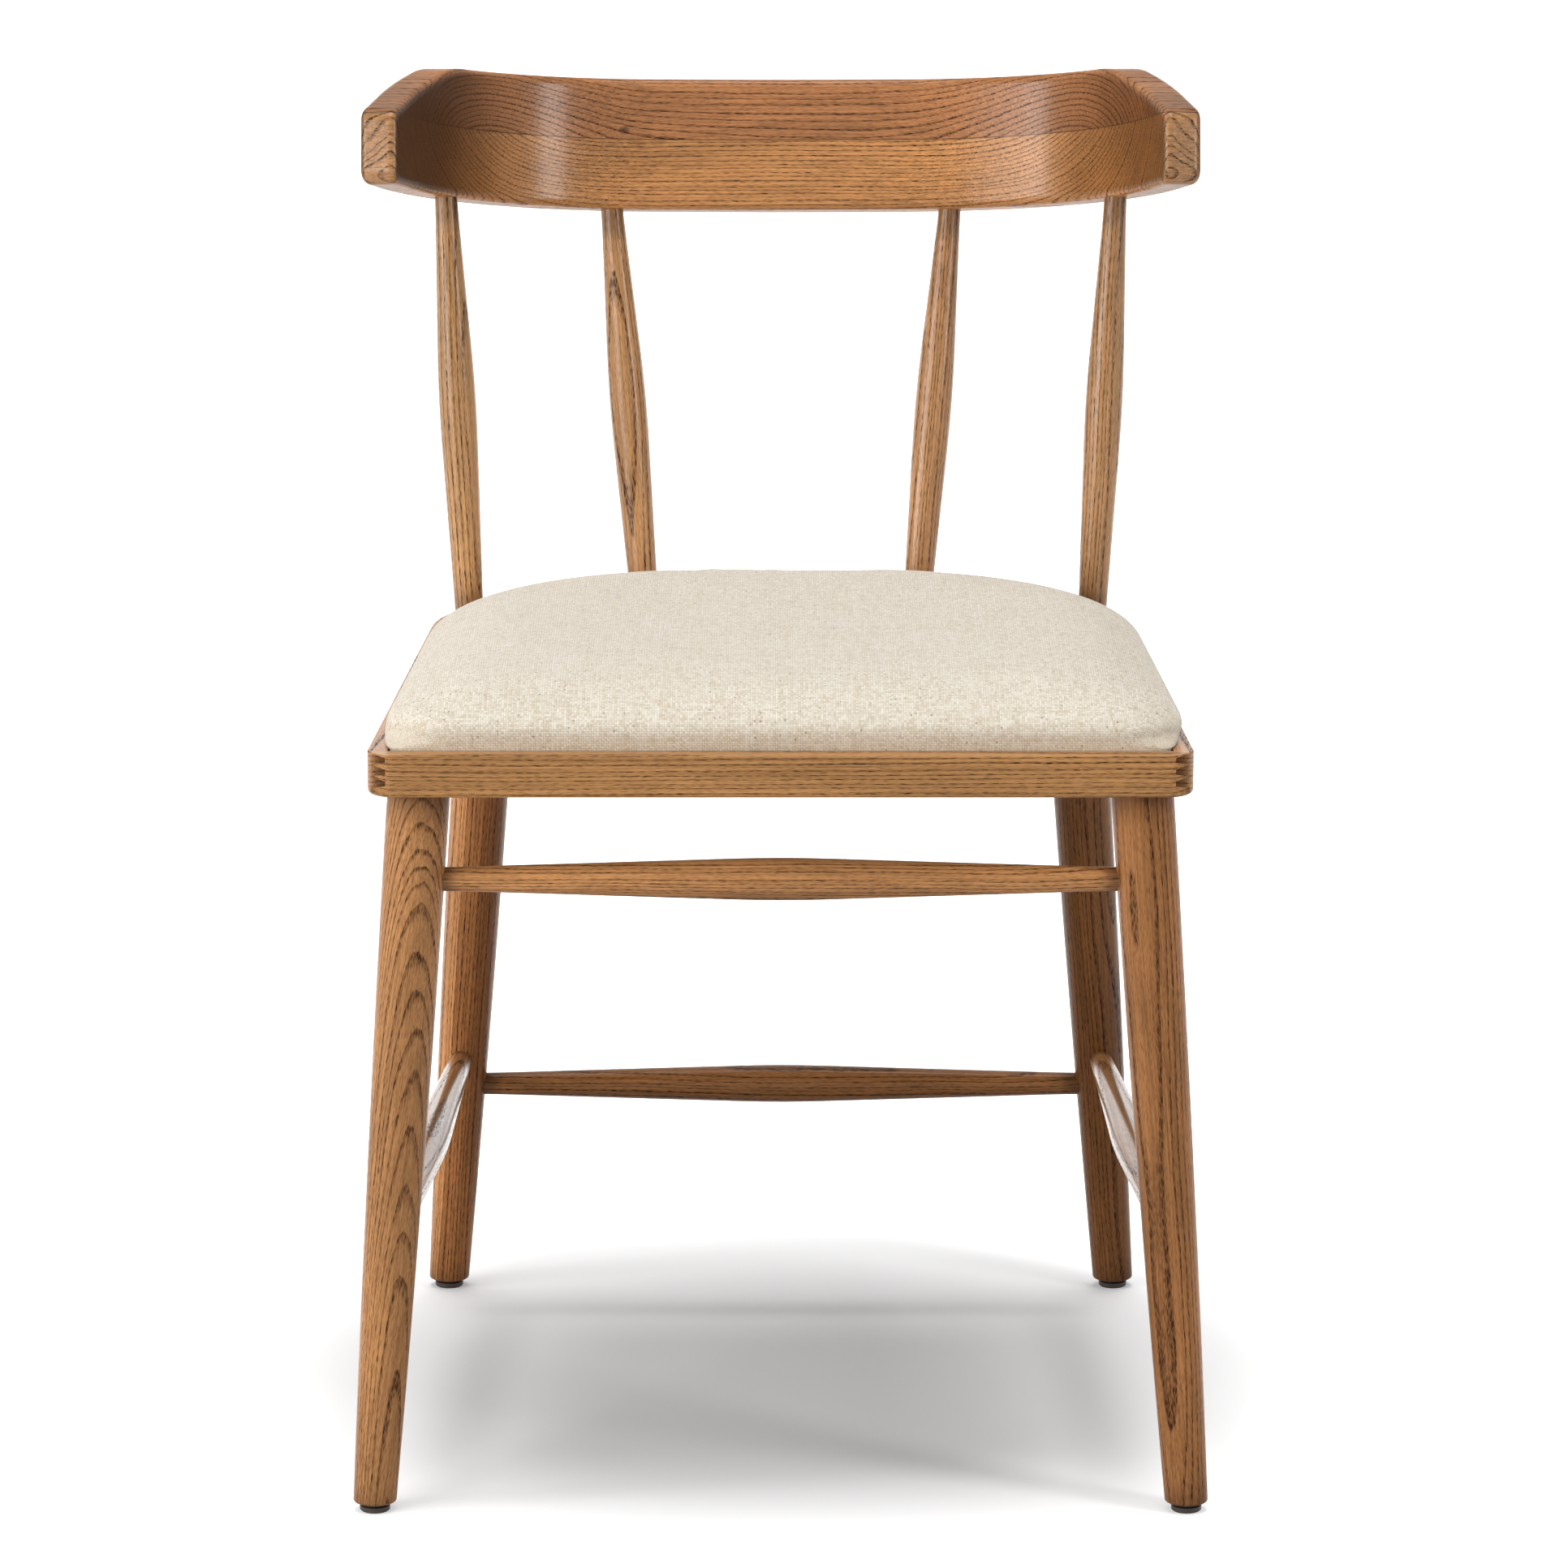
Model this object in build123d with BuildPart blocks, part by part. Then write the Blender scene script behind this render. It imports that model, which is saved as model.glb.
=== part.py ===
from build123d import *
import math
import os

os.makedirs("parts", exist_ok=True)

# Seat frame, seen in plan: a tapered ring with its front face at FRONT_Y.
# The origin is on the floor, in the middle of the chair's plan box.
FRONT_Y = -259.05
SEAT_DEPTH = 461.0
REAR_Y = FRONT_Y + SEAT_DEPTH
FRONT_HALF_WIDTH = 239.3
REAR_HALF_WIDTH = 210.5
SIDE_TAPER = (FRONT_HALF_WIDTH - REAR_HALF_WIDTH) / SEAT_DEPTH
FRONT_CORNER_RADIUS = 16.0
REAR_CORNER_RADIUS = 100.0
SEAT_TOP = 456.0
RAIL_HEIGHT = 25.4
RAIL_BOTTOM = SEAT_TOP - RAIL_HEIGHT
RAIL_THICKNESS = 12.0
BACK_RAIL_WIDTH = 36.0
OPENING_REAR_RADIUS = 150.0
RAIL_BOTTOM_ROUND = 3.0
RAIL_TOP_ROUND = 1.0
BACK_RAIL_START_Y = FRONT_Y + 275.0

# Tapered finger joints at the front corners.
FINGER_COUNT = 3
FINGER_PITCH = 6.9
FINGER_TIP_HEIGHT = 2.9
FIRST_FINGER_DROP = 3.1
FINGER_ROOT_X = FRONT_HALF_WIDTH - 3.5
FINGER_TIP_X = FRONT_HALF_WIDTH - 12.0

# Tongues that join the side rails to the back rail.
TONGUE_THICKNESS = 5.0
TONGUE_HEIGHT = 13.0
TONGUE_LENGTH = 22.0
TONGUE_ROOT = 3.0

# Drop-in seat: a plywood deck, a foam pad and a linen cover with a hem under the deck.
SEAT_GAP = 1.2
COVER_THICKNESS = 1.2
HEM_BOTTOM = 445.0
HEM_WIDTH = 24.0
HEM_THICKNESS = 1.0
DECK_BOTTOM = HEM_BOTTOM + HEM_THICKNESS
DECK_THICKNESS = 12.0
DECK_TOP = DECK_BOTTOM + DECK_THICKNESS
DECK_GAP = 0.6
DECK_INSET = SEAT_GAP + COVER_THICKNESS + DECK_GAP
FOAM_GAP = 0.6
DUST_COVER_THICKNESS = 0.6
DUST_COVER_INSET = 8.0
DUST_COVER_MARGIN = 4.0
CUSHION_CORNER_RADIUS = 9.0

# Pad above the rails: it swells out over them, then its crown rises as a quarter superellipse.
PAD_CLEARANCE = 0.8
PAD_FOOT = SEAT_TOP + PAD_CLEARANCE
PAD_SIDE_OVERHANG = 7.5
PAD_END_OVERHANG = 1.0
PAD_FRONT_RADIUS = 46.0
PAD_REAR_RADIUS = 168.0
SWELL_STEPS = 4
CROWN_EDGE = 468.0
CROWN_RISE = 22.7
CROWN_REACH = 130.0
CROWN_STEPS = 10
CROWN_FRONT_EASE = 0.2
CROWN_REAR_EASE = 0.75

# Corner blocks and the cleat that carry the seat.
BLOCK_LENGTH = 80.0
BLOCK_END = 22.0
BLOCK_HEIGHT = HEM_BOTTOM - RAIL_BOTTOM
CLEAT_LENGTH = 110.0
CLEAT_WIDTH = 18.0
CLEAT_REAR_Y = REAR_Y - BACK_RAIL_WIDTH

# Legs, as right-hand axis points on the floor and at the frame's underside.
FRONT_LEG = (Vector(238.9, FRONT_Y + 6.0, 0), Vector(209.3, FRONT_Y + 32.5, RAIL_BOTTOM))
REAR_LEG = (Vector(214.5, FRONT_Y + 468.0, 0), Vector(182.5, FRONT_Y + 383.0, RAIL_BOTTOM))
LEG_FOOT_RADIUS = 12.5
LEG_MIDDLE_RADIUS = 16.7
LEG_TOP_RADIUS = 18.4
LEG_OVERRUN = 6.0
LEG_FOOT_ROUND = 1.5
FRONT_LEG_TENON_RADIUS = 12.0
REAR_LEG_TENON_RADIUS = 10.0
FRONT_LEG_TENON = 12.0
REAR_LEG_TENON = 14.0

# Glides under the legs.
GLIDE_HEIGHT = 5.5
GLIDE_RADIUS = 8.9
GLIDE_NECK_RADIUS = 7.6
GLIDE_NECK_BOTTOM = 4.0
GLIDE_EDGE = 0.8
NAIL_RADIUS = 1.2
NAIL_HEAD_RADIUS = 3.5
NAIL_HEAD_BOTTOM = 2.0
NAIL_HEAD_TOP = 3.0
NAIL_TOP = 20.0

# Turned stretchers between the legs.
FRONT_STRETCHER_Z = 376.0
REAR_STRETCHER_Z = 142.0
SIDE_STRETCHER_Z = 162.0
STRETCHER_END_RADIUS = 7.0
FRONT_STRETCHER_SWELL = 12.9
REAR_STRETCHER_SWELL = 12.3
SIDE_STRETCHER_SWELL = 12.5
STRETCHER_AXIS_GAP = 3.0
STRETCHER_TENON = 19.0
SWELL_ROUND = 900.0

# Crest rail: a flat U of two glued layers, tilted up to the front.
# Its own plane is the seam between the layers, with the origin at the inner face.
CREST_TILT = 15.0
CREST_Y = FRONT_Y + 492.0
CREST_Z = 740.9
CREST_THICKNESS = 24.0
CREST_BACK_RADIUS = 1400.0
CREST_BACK_HALF = 78.0
CREST_BEND_RADIUS = 163.0
CREST_BEND_TURN = 70.0
CREST_ARM_LENGTH = 32.0
CREST_LOWER_HEIGHT = 43.5
CREST_UPPER_HEIGHT = 39.0
CREST_SHOULDER = (-66.0, 37.3)
CREST_ARM_END = (-170.0, -11.2)
CREST_SHOULDER_ROUND = 40.0
CREST_TIP_ROUND = 9.0
CREST_EDGE_ROUND = 5.0
CREASE_COSINE = 0.99

# Turned spindles: right-hand axis points on the seat, and on the crest's underside in its own plane.
INNER_SPINDLE_BASE = Vector(85.9, FRONT_Y + 445.0, SEAT_TOP)
OUTER_SPINDLE_BASE = Vector(194.2, FRONT_Y + 398.0, SEAT_TOP)
INNER_SPINDLE_TOP = Vector(106.0, 6.0, -CREST_LOWER_HEIGHT)
OUTER_SPINDLE_TOP = Vector(207.4, -61.7, -CREST_LOWER_HEIGHT)
SPINDLE_BASE_RADIUS = 8.7
SPINDLE_SWELL_RADIUS = 12.0
SPINDLE_TOP_RADIUS = 6.75
SPINDLE_SWELL_AT = 0.52
SPINDLE_TENON_RADIUS = 6.0
SPINDLE_TENON = 14.0
SPINDLE_TOP_TENON = 28.0
SPINDLE_OVERRUN = 4.0

# Wood screws and staples.
SCREW_HEAD_RADIUS = 3.6
SCREW_HEAD_HEIGHT = 2.4
SCREW_SHANK_RADIUS = 1.8
SCREW_POINT = 3.0
SCREW_POINT_RADIUS = 0.2
SCREW_POCKET_RADIUS = 4.5
SCREW_Z = 437.5
BLOCK_SCREW_AT = 66.0
BLOCK_SCREW_DEPTH = 13.0
BLOCK_SCREW_LENGTH = 22.0
CLEAT_SCREW_LENGTH = 32.0
CLEAT_SCREW_SPACING = 42.0
SEAT_SCREW_LENGTH = 24.0
SEAT_SCREW_FRONT = (182.0, FRONT_Y + 44.0)
SEAT_SCREW_REAR = (22.0, CLEAT_REAR_Y - CLEAT_WIDTH / 2)
STAPLE_WIDTH = 10.0
STAPLE_WIRE = 0.8
STAPLE_LENGTH = 7.0
STAPLE_INSET = 14.0
STAPLE_BOTTOM = HEM_BOTTOM - DUST_COVER_THICKNESS - STAPLE_WIRE
FRONT_STAPLES_X = (-110.0, -55.0, 0.0, 55.0, 110.0)
SIDE_STAPLES_Y = (118.0, 168.0, 218.0, 268.0)
CORNER_STAPLES_ANGLE = (20.0, 42.0, 64.0)

SIDES = (("left", -1), ("right", 1))
CREST = Plane(
    origin=(0, CREST_Y, CREST_Z),
    x_dir=(1, 0, 0),
    z_dir=(0, math.sin(math.radians(CREST_TILT)), math.cos(math.radians(CREST_TILT))),
)


def half_width(y):
    """Half the seat frame's outer width at a distance along the chair."""
    return FRONT_HALF_WIDTH - SIDE_TAPER * (y - FRONT_Y)


def sided(point, side):
    """A right-hand point, or its mirror image on the left where side is -1."""
    return Vector(side * point.X, point.Y, point.Z)


def at_height(axis_points, z):
    """The point of a straight leg axis at a height."""
    low, high = axis_points
    return low + (high - low) * (z / high.Z)


def turning_plane(start, end):
    """The plane of a turned outline: local X is the radius, local Y runs from start to end."""
    square = Plane(origin=start, z_dir=end - start)
    return Plane(origin=start, x_dir=square.x_dir, z_dir=-square.y_dir)


def turning_axis(start, end):
    """The axis that a turned piece spins on."""
    return Axis(start, end - start)


def turned_face(start, end, outline, rounding=0.0):
    """Half the section of a turned piece, from (radius, distance) points with eased corners."""
    with BuildSketch(turning_plane(start, end)) as half:
        with BuildLine():
            rim = FilletPolyline(*outline, radius=rounding)
            Polyline(rim @ 1, (0, outline[-1][1]), (0, outline[0][1]), rim @ 0)
        make_face()
    return half.sketch


def seat_plan(height, front, side, rear, front_radius, rear_radius):
    """The seat's tapered plan at a height, drawn in from the frame's front, sides and rear."""
    front_y = FRONT_Y + front
    rear_y = REAR_Y - rear
    front_x = half_width(front_y) - side
    rear_x = half_width(rear_y) - side
    with BuildSketch(Plane.XY.offset(height)) as plan:
        with BuildLine():
            FilletPolyline(
                (front_x, front_y),
                (rear_x, rear_y),
                (-rear_x, rear_y),
                (-front_x, front_y),
                radius=(front_radius, rear_radius, rear_radius, front_radius),
                close=True,
            )
        make_face()
    return plan.sketch


def opening_plan(height, inset, front_radius, rear_radius):
    """The plan of the frame's opening at a height, drawn in on all sides."""
    edge = RAIL_THICKNESS + inset
    return seat_plan(height, edge, edge, BACK_RAIL_WIDTH + inset, front_radius, rear_radius)


def screw_outline(length):
    """The outline of a countersunk wood screw, from its head to its point."""
    return (
        (SCREW_HEAD_RADIUS, 0),
        (SCREW_SHANK_RADIUS, SCREW_HEAD_HEIGHT),
        (SCREW_SHANK_RADIUS, length - SCREW_POINT),
        (SCREW_POINT_RADIUS, length),
    )


def write_step(piece, name):
    """Label a finished piece and write it under its name."""
    piece.part.label = name
    export_step(piece.part, f"parts/{name}.step")


# Stretchers swell towards the middle and run into the legs with straight round tenons.
def stretcher_ends(start, end):
    """The ends of a stretcher, just short of the leg axes that it runs between."""
    along = (end - start).normalized()
    return start + along * STRETCHER_AXIS_GAP, end - along * STRETCHER_AXIS_GAP


def across(leg, z):
    """The stretcher line between a pair of legs at a height."""
    right = at_height(leg, z)
    return stretcher_ends(sided(right, -1), right)


def along_side(side):
    """The stretcher line between the front and rear legs of one side."""
    front = sided(at_height(FRONT_LEG, SIDE_STRETCHER_Z), side)
    rear = sided(at_height(REAR_LEG, SIDE_STRETCHER_Z), side)
    return stretcher_ends(front, rear)


stretchers = []
for name, (start, end), swell in (
    ("front_stretcher", across(FRONT_LEG, FRONT_STRETCHER_Z), FRONT_STRETCHER_SWELL),
    ("rear_stretcher", across(REAR_LEG, REAR_STRETCHER_Z), REAR_STRETCHER_SWELL),
    ("left_stretcher", along_side(-1), SIDE_STRETCHER_SWELL),
    ("right_stretcher", along_side(1), SIDE_STRETCHER_SWELL),
):
    length = (end - start).length
    outline = (
        (STRETCHER_END_RADIUS, 0),
        (STRETCHER_END_RADIUS, STRETCHER_TENON),
        (swell, length / 2),
        (STRETCHER_END_RADIUS, length - STRETCHER_TENON),
        (STRETCHER_END_RADIUS, length),
    )
    with BuildPart() as stretcher:
        revolve(turned_face(start, end, outline, SWELL_ROUND), axis=turning_axis(start, end))
    write_step(stretcher, name)
    stretchers.append(stretcher.part)

# Nails that hold the glides, driven straight up into the legs.
GLIDE_PLACES = [
    (f"{pair}_{hand}", sided(at_height(leg, GLIDE_HEIGHT), side))
    for pair, leg in (("front", FRONT_LEG), ("rear", REAR_LEG))
    for hand, side in SIDES
]
NAIL_OUTLINE = (
    (NAIL_HEAD_RADIUS, NAIL_HEAD_BOTTOM),
    (NAIL_HEAD_RADIUS, NAIL_HEAD_TOP),
    (NAIL_RADIUS, NAIL_HEAD_TOP),
    (NAIL_RADIUS, NAIL_TOP),
)
with BuildPart() as glide_nails:
    for _, place in GLIDE_PLACES:
        floor, ankle = Vector(place.X, place.Y, 0), place
        revolve(turned_face(floor, ankle, NAIL_OUTLINE), axis=turning_axis(floor, ankle))
write_step(glide_nails, "glide_nails")

# Glides: moulded discs with a narrower neck against the leg.
GLIDE_OUTLINE = (
    (GLIDE_RADIUS - GLIDE_EDGE, 0),
    (GLIDE_RADIUS, GLIDE_EDGE),
    (GLIDE_RADIUS, GLIDE_NECK_BOTTOM - GLIDE_EDGE),
    (GLIDE_NECK_RADIUS, GLIDE_NECK_BOTTOM),
    (GLIDE_NECK_RADIUS, GLIDE_HEIGHT),
)
for name, place in GLIDE_PLACES:
    floor, ankle = Vector(place.X, place.Y, 0), place
    with BuildPart() as glide:
        revolve(turned_face(floor, ankle, GLIDE_OUTLINE), axis=turning_axis(floor, ankle))
        add(glide_nails.part, mode=Mode.SUBTRACT)
    write_step(glide, f"{name}_glide")

# Legs: round, tapered with a slight swell, trimmed level at both ends, with a round tenon on top.
legs = []
for pair, leg, tenon_radius, tenon in (
    ("front", FRONT_LEG, FRONT_LEG_TENON_RADIUS, FRONT_LEG_TENON),
    ("rear", REAR_LEG, REAR_LEG_TENON_RADIUS, REAR_LEG_TENON),
):
    for hand, side in SIDES:
        foot, head = (sided(point, side) for point in leg)
        length = (head - foot).length + LEG_OVERRUN
        with BuildPart() as leg_piece:
            with BuildSketch(turning_plane(foot, head)):
                with BuildLine():
                    rim = Spline(
                        (LEG_FOOT_RADIUS, 0), (LEG_MIDDLE_RADIUS, length / 2), (LEG_TOP_RADIUS, length)
                    )
                    Polyline(rim @ 1, (0, length), (0, 0), rim @ 0)
                make_face()
            revolve(axis=turning_axis(foot, head))
            split(bisect_by=Plane.XY.offset(GLIDE_HEIGHT), keep=Keep.TOP)
            split(bisect_by=Plane.XY.offset(RAIL_BOTTOM), keep=Keep.BOTTOM)
            fillet(leg_piece.faces().sort_by(Axis.Z)[0].edges(), LEG_FOOT_ROUND)
            with BuildSketch(Plane(origin=head, z_dir=head - foot).offset(-LEG_OVERRUN)):
                Circle(tenon_radius)
            extrude(amount=LEG_OVERRUN + tenon)
            add(stretchers, mode=Mode.SUBTRACT)
            add(glide_nails.part, mode=Mode.SUBTRACT)
        write_step(leg_piece, f"{pair}_{hand}_leg")
        legs.append(leg_piece.part)

# Spindles: trimmed flush on the seat, swelled at mid length, with a round tenon at each end.
spindles = []
for name, base, top in (
    ("inner", INNER_SPINDLE_BASE, CREST.from_local_coords(INNER_SPINDLE_TOP)),
    ("outer", OUTER_SPINDLE_BASE, CREST.from_local_coords(OUTER_SPINDLE_TOP)),
):
    for hand, side in SIDES:
        start, end = sided(base, side), sided(top, side)
        length = (end - start).length
        outline = (
            (SPINDLE_BASE_RADIUS, -SPINDLE_OVERRUN),
            (SPINDLE_SWELL_RADIUS, length * SPINDLE_SWELL_AT),
            (SPINDLE_TOP_RADIUS, length),
            (SPINDLE_TOP_RADIUS, length + SPINDLE_TOP_TENON),
        )
        with BuildPart() as spindle:
            revolve(turned_face(start, end, outline, SWELL_ROUND), axis=turning_axis(start, end))
            split(bisect_by=Plane.XY.offset(SEAT_TOP), keep=Keep.TOP)
            with BuildSketch(Plane(origin=start, z_dir=end - start).offset(-SPINDLE_TENON)):
                Circle(SPINDLE_TENON_RADIUS)
            extrude(amount=SPINDLE_TENON + SPINDLE_OVERRUN)
        write_step(spindle, f"{name}_{hand}_spindle")
        spindles.append(spindle.part)

# Crest rail: the U in plan, cut by the sloping arms in side view, then eased along its edges.
back_turn = math.degrees(math.asin(CREST_BACK_HALF / CREST_BACK_RADIUS))


def is_crease(edge):
    """Tells whether the two faces on an edge of the crest meet at an angle."""
    one, two = (face for face in crest.faces() if edge in face.edges())
    middle = edge.position_at(1 / 2)
    return one.normal_at(middle).dot(two.normal_at(middle)) < CREASE_COSINE


with BuildPart() as crest:
    with BuildSketch(CREST.offset(-CREST_LOWER_HEIGHT)):
        with BuildLine():
            arm_tips = []
            for depth in (0, CREST_THICKNESS):
                back = JernArc((0, depth), (1, 0), CREST_BACK_RADIUS + depth, -back_turn)
                bend = JernArc(back @ 1, back % 1, CREST_BEND_RADIUS + depth, -CREST_BEND_TURN)
                arm = Line(bend @ 1, bend @ 1 + CREST_ARM_LENGTH * (bend % 1))
                arm_tips.append(arm @ 1)
            Line(*arm_tips)
            mirror(about=Plane.YZ)
        make_face()
    extrude(amount=CREST_LOWER_HEIGHT + CREST_UPPER_HEIGHT)
    with BuildSketch(Plane(origin=CREST.origin, x_dir=CREST.y_dir, z_dir=(1, 0, 0))):
        with BuildLine():
            arm_top = FilletPolyline(
                (CREST_THICKNESS, CREST_UPPER_HEIGHT),
                CREST_SHOULDER,
                CREST_ARM_END,
                radius=CREST_SHOULDER_ROUND,
            )
            Polyline(
                arm_top @ 1,
                (CREST_ARM_END[0], -CREST_LOWER_HEIGHT),
                (CREST_THICKNESS, -CREST_LOWER_HEIGHT),
                arm_top @ 0,
            )
        make_face()
    extrude(amount=2 * FRONT_HALF_WIDTH, both=True, mode=Mode.INTERSECT)
    upright = Axis(CREST.origin, CREST.z_dir)
    tips = crest.faces().sort_by(Axis.Y)[:2]
    fillet(tips.edges().filter_by(upright, reverse=True), CREST_TIP_ROUND)
    fillet(crest.edges().filter_by(is_crease), CREST_EDGE_ROUND)
with BuildPart() as crest_upper:
    add(crest.part)
    split(bisect_by=CREST, keep=Keep.TOP)
write_step(crest_upper, "crest_upper")
with BuildPart() as crest_lower:
    add(crest.part)
    split(bisect_by=CREST, keep=Keep.BOTTOM)
    add(spindles, mode=Mode.SUBTRACT)
write_step(crest_lower, "crest_lower")

# Screws: two in each corner block, three in the cleat, four up into the seat.
def block_screw_lines(side):
    """The head and point of the two screws that hold a corner block to its rails."""
    front_y = FRONT_Y + RAIL_THICKNESS
    along_front_x = half_width(front_y) - RAIL_THICKNESS - BLOCK_SCREW_AT
    front_head = Vector(side * along_front_x, front_y + BLOCK_SCREW_DEPTH, SCREW_Z)
    along_side_y = front_y + BLOCK_SCREW_AT
    side_head_x = half_width(along_side_y) - RAIL_THICKNESS - BLOCK_SCREW_DEPTH
    side_head = Vector(side * side_head_x, along_side_y, SCREW_Z)
    outward = Vector(side, SIDE_TAPER, 0).normalized()
    return (
        (front_head, front_head + Vector(0, -BLOCK_SCREW_LENGTH, 0)),
        (side_head, side_head + outward * BLOCK_SCREW_LENGTH),
    )


with BuildPart() as corner_block_screws:
    for _, side in SIDES:
        for head, point in block_screw_lines(side):
            revolve(
                turned_face(head, point, screw_outline(BLOCK_SCREW_LENGTH)),
                axis=turning_axis(head, point),
            )
write_step(corner_block_screws, "corner_block_screws")
with BuildPart() as cleat_screws:
    for place in (-1, 0, 1):
        head = Vector(place * CLEAT_SCREW_SPACING, CLEAT_REAR_Y - CLEAT_WIDTH, SCREW_Z)
        point = head + Vector(0, CLEAT_SCREW_LENGTH, 0)
        revolve(
            turned_face(head, point, screw_outline(CLEAT_SCREW_LENGTH)),
            axis=turning_axis(head, point),
        )
write_step(cleat_screws, "cleat_screws")
with BuildPart() as seat_screws:
    for x, y in (SEAT_SCREW_FRONT, SEAT_SCREW_REAR):
        for _, side in SIDES:
            head = Vector(side * x, y, RAIL_BOTTOM)
            point = head + Vector(0, 0, SEAT_SCREW_LENGTH)
            revolve(
                turned_face(head, point, screw_outline(SEAT_SCREW_LENGTH)),
                axis=turning_axis(head, point),
            )
write_step(seat_screws, "seat_screws")

# The whole seat frame as one ring, which the rails are cut from so that their edges run on.
with BuildPart() as seat_ring:
    extrude(seat_plan(RAIL_BOTTOM, 0, 0, 0, FRONT_CORNER_RADIUS, REAR_CORNER_RADIUS), amount=RAIL_HEIGHT)
    fillet(seat_ring.faces().sort_by(Axis.Z)[0].edges(), RAIL_BOTTOM_ROUND)
    fillet(seat_ring.faces().sort_by(Axis.Z)[-1].edges(), RAIL_TOP_ROUND)
    extrude(
        opening_plan(RAIL_BOTTOM, 0, 0, OPENING_REAR_RADIUS),
        amount=RAIL_HEIGHT,
        mode=Mode.SUBTRACT,
    )

# The front rail's face between its tapered fingers, seen from the front.
finger_edge = [(FINGER_ROOT_X, SEAT_TOP + RAIL_TOP_ROUND)]
for count in range(FINGER_COUNT):
    finger_z = SEAT_TOP - FIRST_FINGER_DROP - count * FINGER_PITCH
    finger_edge += [
        (FINGER_ROOT_X, finger_z + FINGER_PITCH / 2),
        (FINGER_TIP_X, finger_z + FINGER_TIP_HEIGHT / 2),
        (FINGER_TIP_X, finger_z - FINGER_TIP_HEIGHT / 2),
    ]
finger_edge += [
    (FINGER_ROOT_X, finger_z - FINGER_PITCH / 2),
    (FINGER_ROOT_X, RAIL_BOTTOM - RAIL_TOP_ROUND),
]
with BuildSketch(Plane(origin=(0, FRONT_Y, 0), x_dir=(1, 0, 0), z_dir=(0, -1, 0))) as front_joint:
    with BuildLine():
        right_end = Polyline(*finger_edge)
        left_end = Polyline(*[(-x, z) for x, z in finger_edge])
        Line(right_end @ 0, left_end @ 0)
        Line(right_end @ 1, left_end @ 1)
    make_face()

# Front rail, with light fingers at both ends and holes for the block screws.
with BuildPart() as front_rail:
    add(seat_ring.part)
    extrude(front_joint.sketch, amount=-RAIL_THICKNESS, mode=Mode.INTERSECT)
    add(corner_block_screws.part, mode=Mode.SUBTRACT)
write_step(front_rail, "front_rail")


# Side rails: their fingers' end grain shows on the front, and a tongue runs into the back rail.
def tongue_plane(side):
    """The plane across a side rail's rear end, from which its tongue runs back."""
    middle_x = half_width(BACK_RAIL_START_Y) - RAIL_THICKNESS / 2
    rear_end = Plane(
        origin=(side * middle_x, BACK_RAIL_START_Y, RAIL_BOTTOM + RAIL_HEIGHT / 2),
        x_dir=(1, side * SIDE_TAPER, 0),
        z_dir=(-side * SIDE_TAPER, 1, 0),
    )
    return rear_end.offset(-TONGUE_ROOT)


for hand, side in SIDES:
    with BuildPart() as side_rail:
        add(seat_ring.part)
        with BuildSketch(Plane.XY.offset(RAIL_BOTTOM)):
            with Locations((side * FRONT_HALF_WIDTH / 2, (FRONT_Y + BACK_RAIL_START_Y) / 2)):
                Rectangle(FRONT_HALF_WIDTH, BACK_RAIL_START_Y - FRONT_Y)
        extrude(amount=RAIL_HEIGHT, mode=Mode.INTERSECT)
        extrude(front_joint.sketch, amount=-RAIL_THICKNESS, mode=Mode.SUBTRACT)
        with BuildSketch(tongue_plane(side)):
            Rectangle(TONGUE_THICKNESS, TONGUE_HEIGHT)
        extrude(amount=TONGUE_ROOT + TONGUE_LENGTH)
        add(corner_block_screws.part, mode=Mode.SUBTRACT)
    write_step(side_rail, f"{hand}_rail")

# Back rail: a wide curved rail, mortised from above for the spindles and from below for the rear legs.
with BuildPart() as back_rail:
    add(seat_ring.part)
    with BuildSketch(Plane.XY.offset(RAIL_BOTTOM)):
        with Locations((0, (BACK_RAIL_START_Y + REAR_Y) / 2)):
            Rectangle(2 * FRONT_HALF_WIDTH, REAR_Y - BACK_RAIL_START_Y)
    extrude(amount=RAIL_HEIGHT, mode=Mode.INTERSECT)
    for _, side in SIDES:
        with BuildSketch(tongue_plane(side)):
            Rectangle(TONGUE_THICKNESS, TONGUE_HEIGHT)
        extrude(amount=TONGUE_ROOT + TONGUE_LENGTH, mode=Mode.SUBTRACT)
    add(spindles, mode=Mode.SUBTRACT)
    add(legs, mode=Mode.SUBTRACT)
    add(cleat_screws.part, mode=Mode.SUBTRACT)
write_step(back_rail, "back_rail")


# Corner blocks, glued and screwed into the front corners, take the front legs' tenons.
def block_plan(side):
    """The plan of a front corner block, which fills the corner between the front and side rails."""
    front_y = FRONT_Y + RAIL_THICKNESS
    corner_x = half_width(front_y) - RAIL_THICKNESS
    end_y = front_y + BLOCK_LENGTH
    end_x = half_width(end_y) - RAIL_THICKNESS
    with BuildSketch(Plane.XY.offset(RAIL_BOTTOM)) as plan:
        with BuildLine():
            Polyline(
                (side * corner_x, front_y),
                (side * (corner_x - BLOCK_LENGTH), front_y),
                (side * (corner_x - BLOCK_LENGTH), front_y + BLOCK_END),
                (side * (end_x - BLOCK_END), end_y),
                (side * end_x, end_y),
                close=True,
            )
        make_face()
    return plan.sketch


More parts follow.
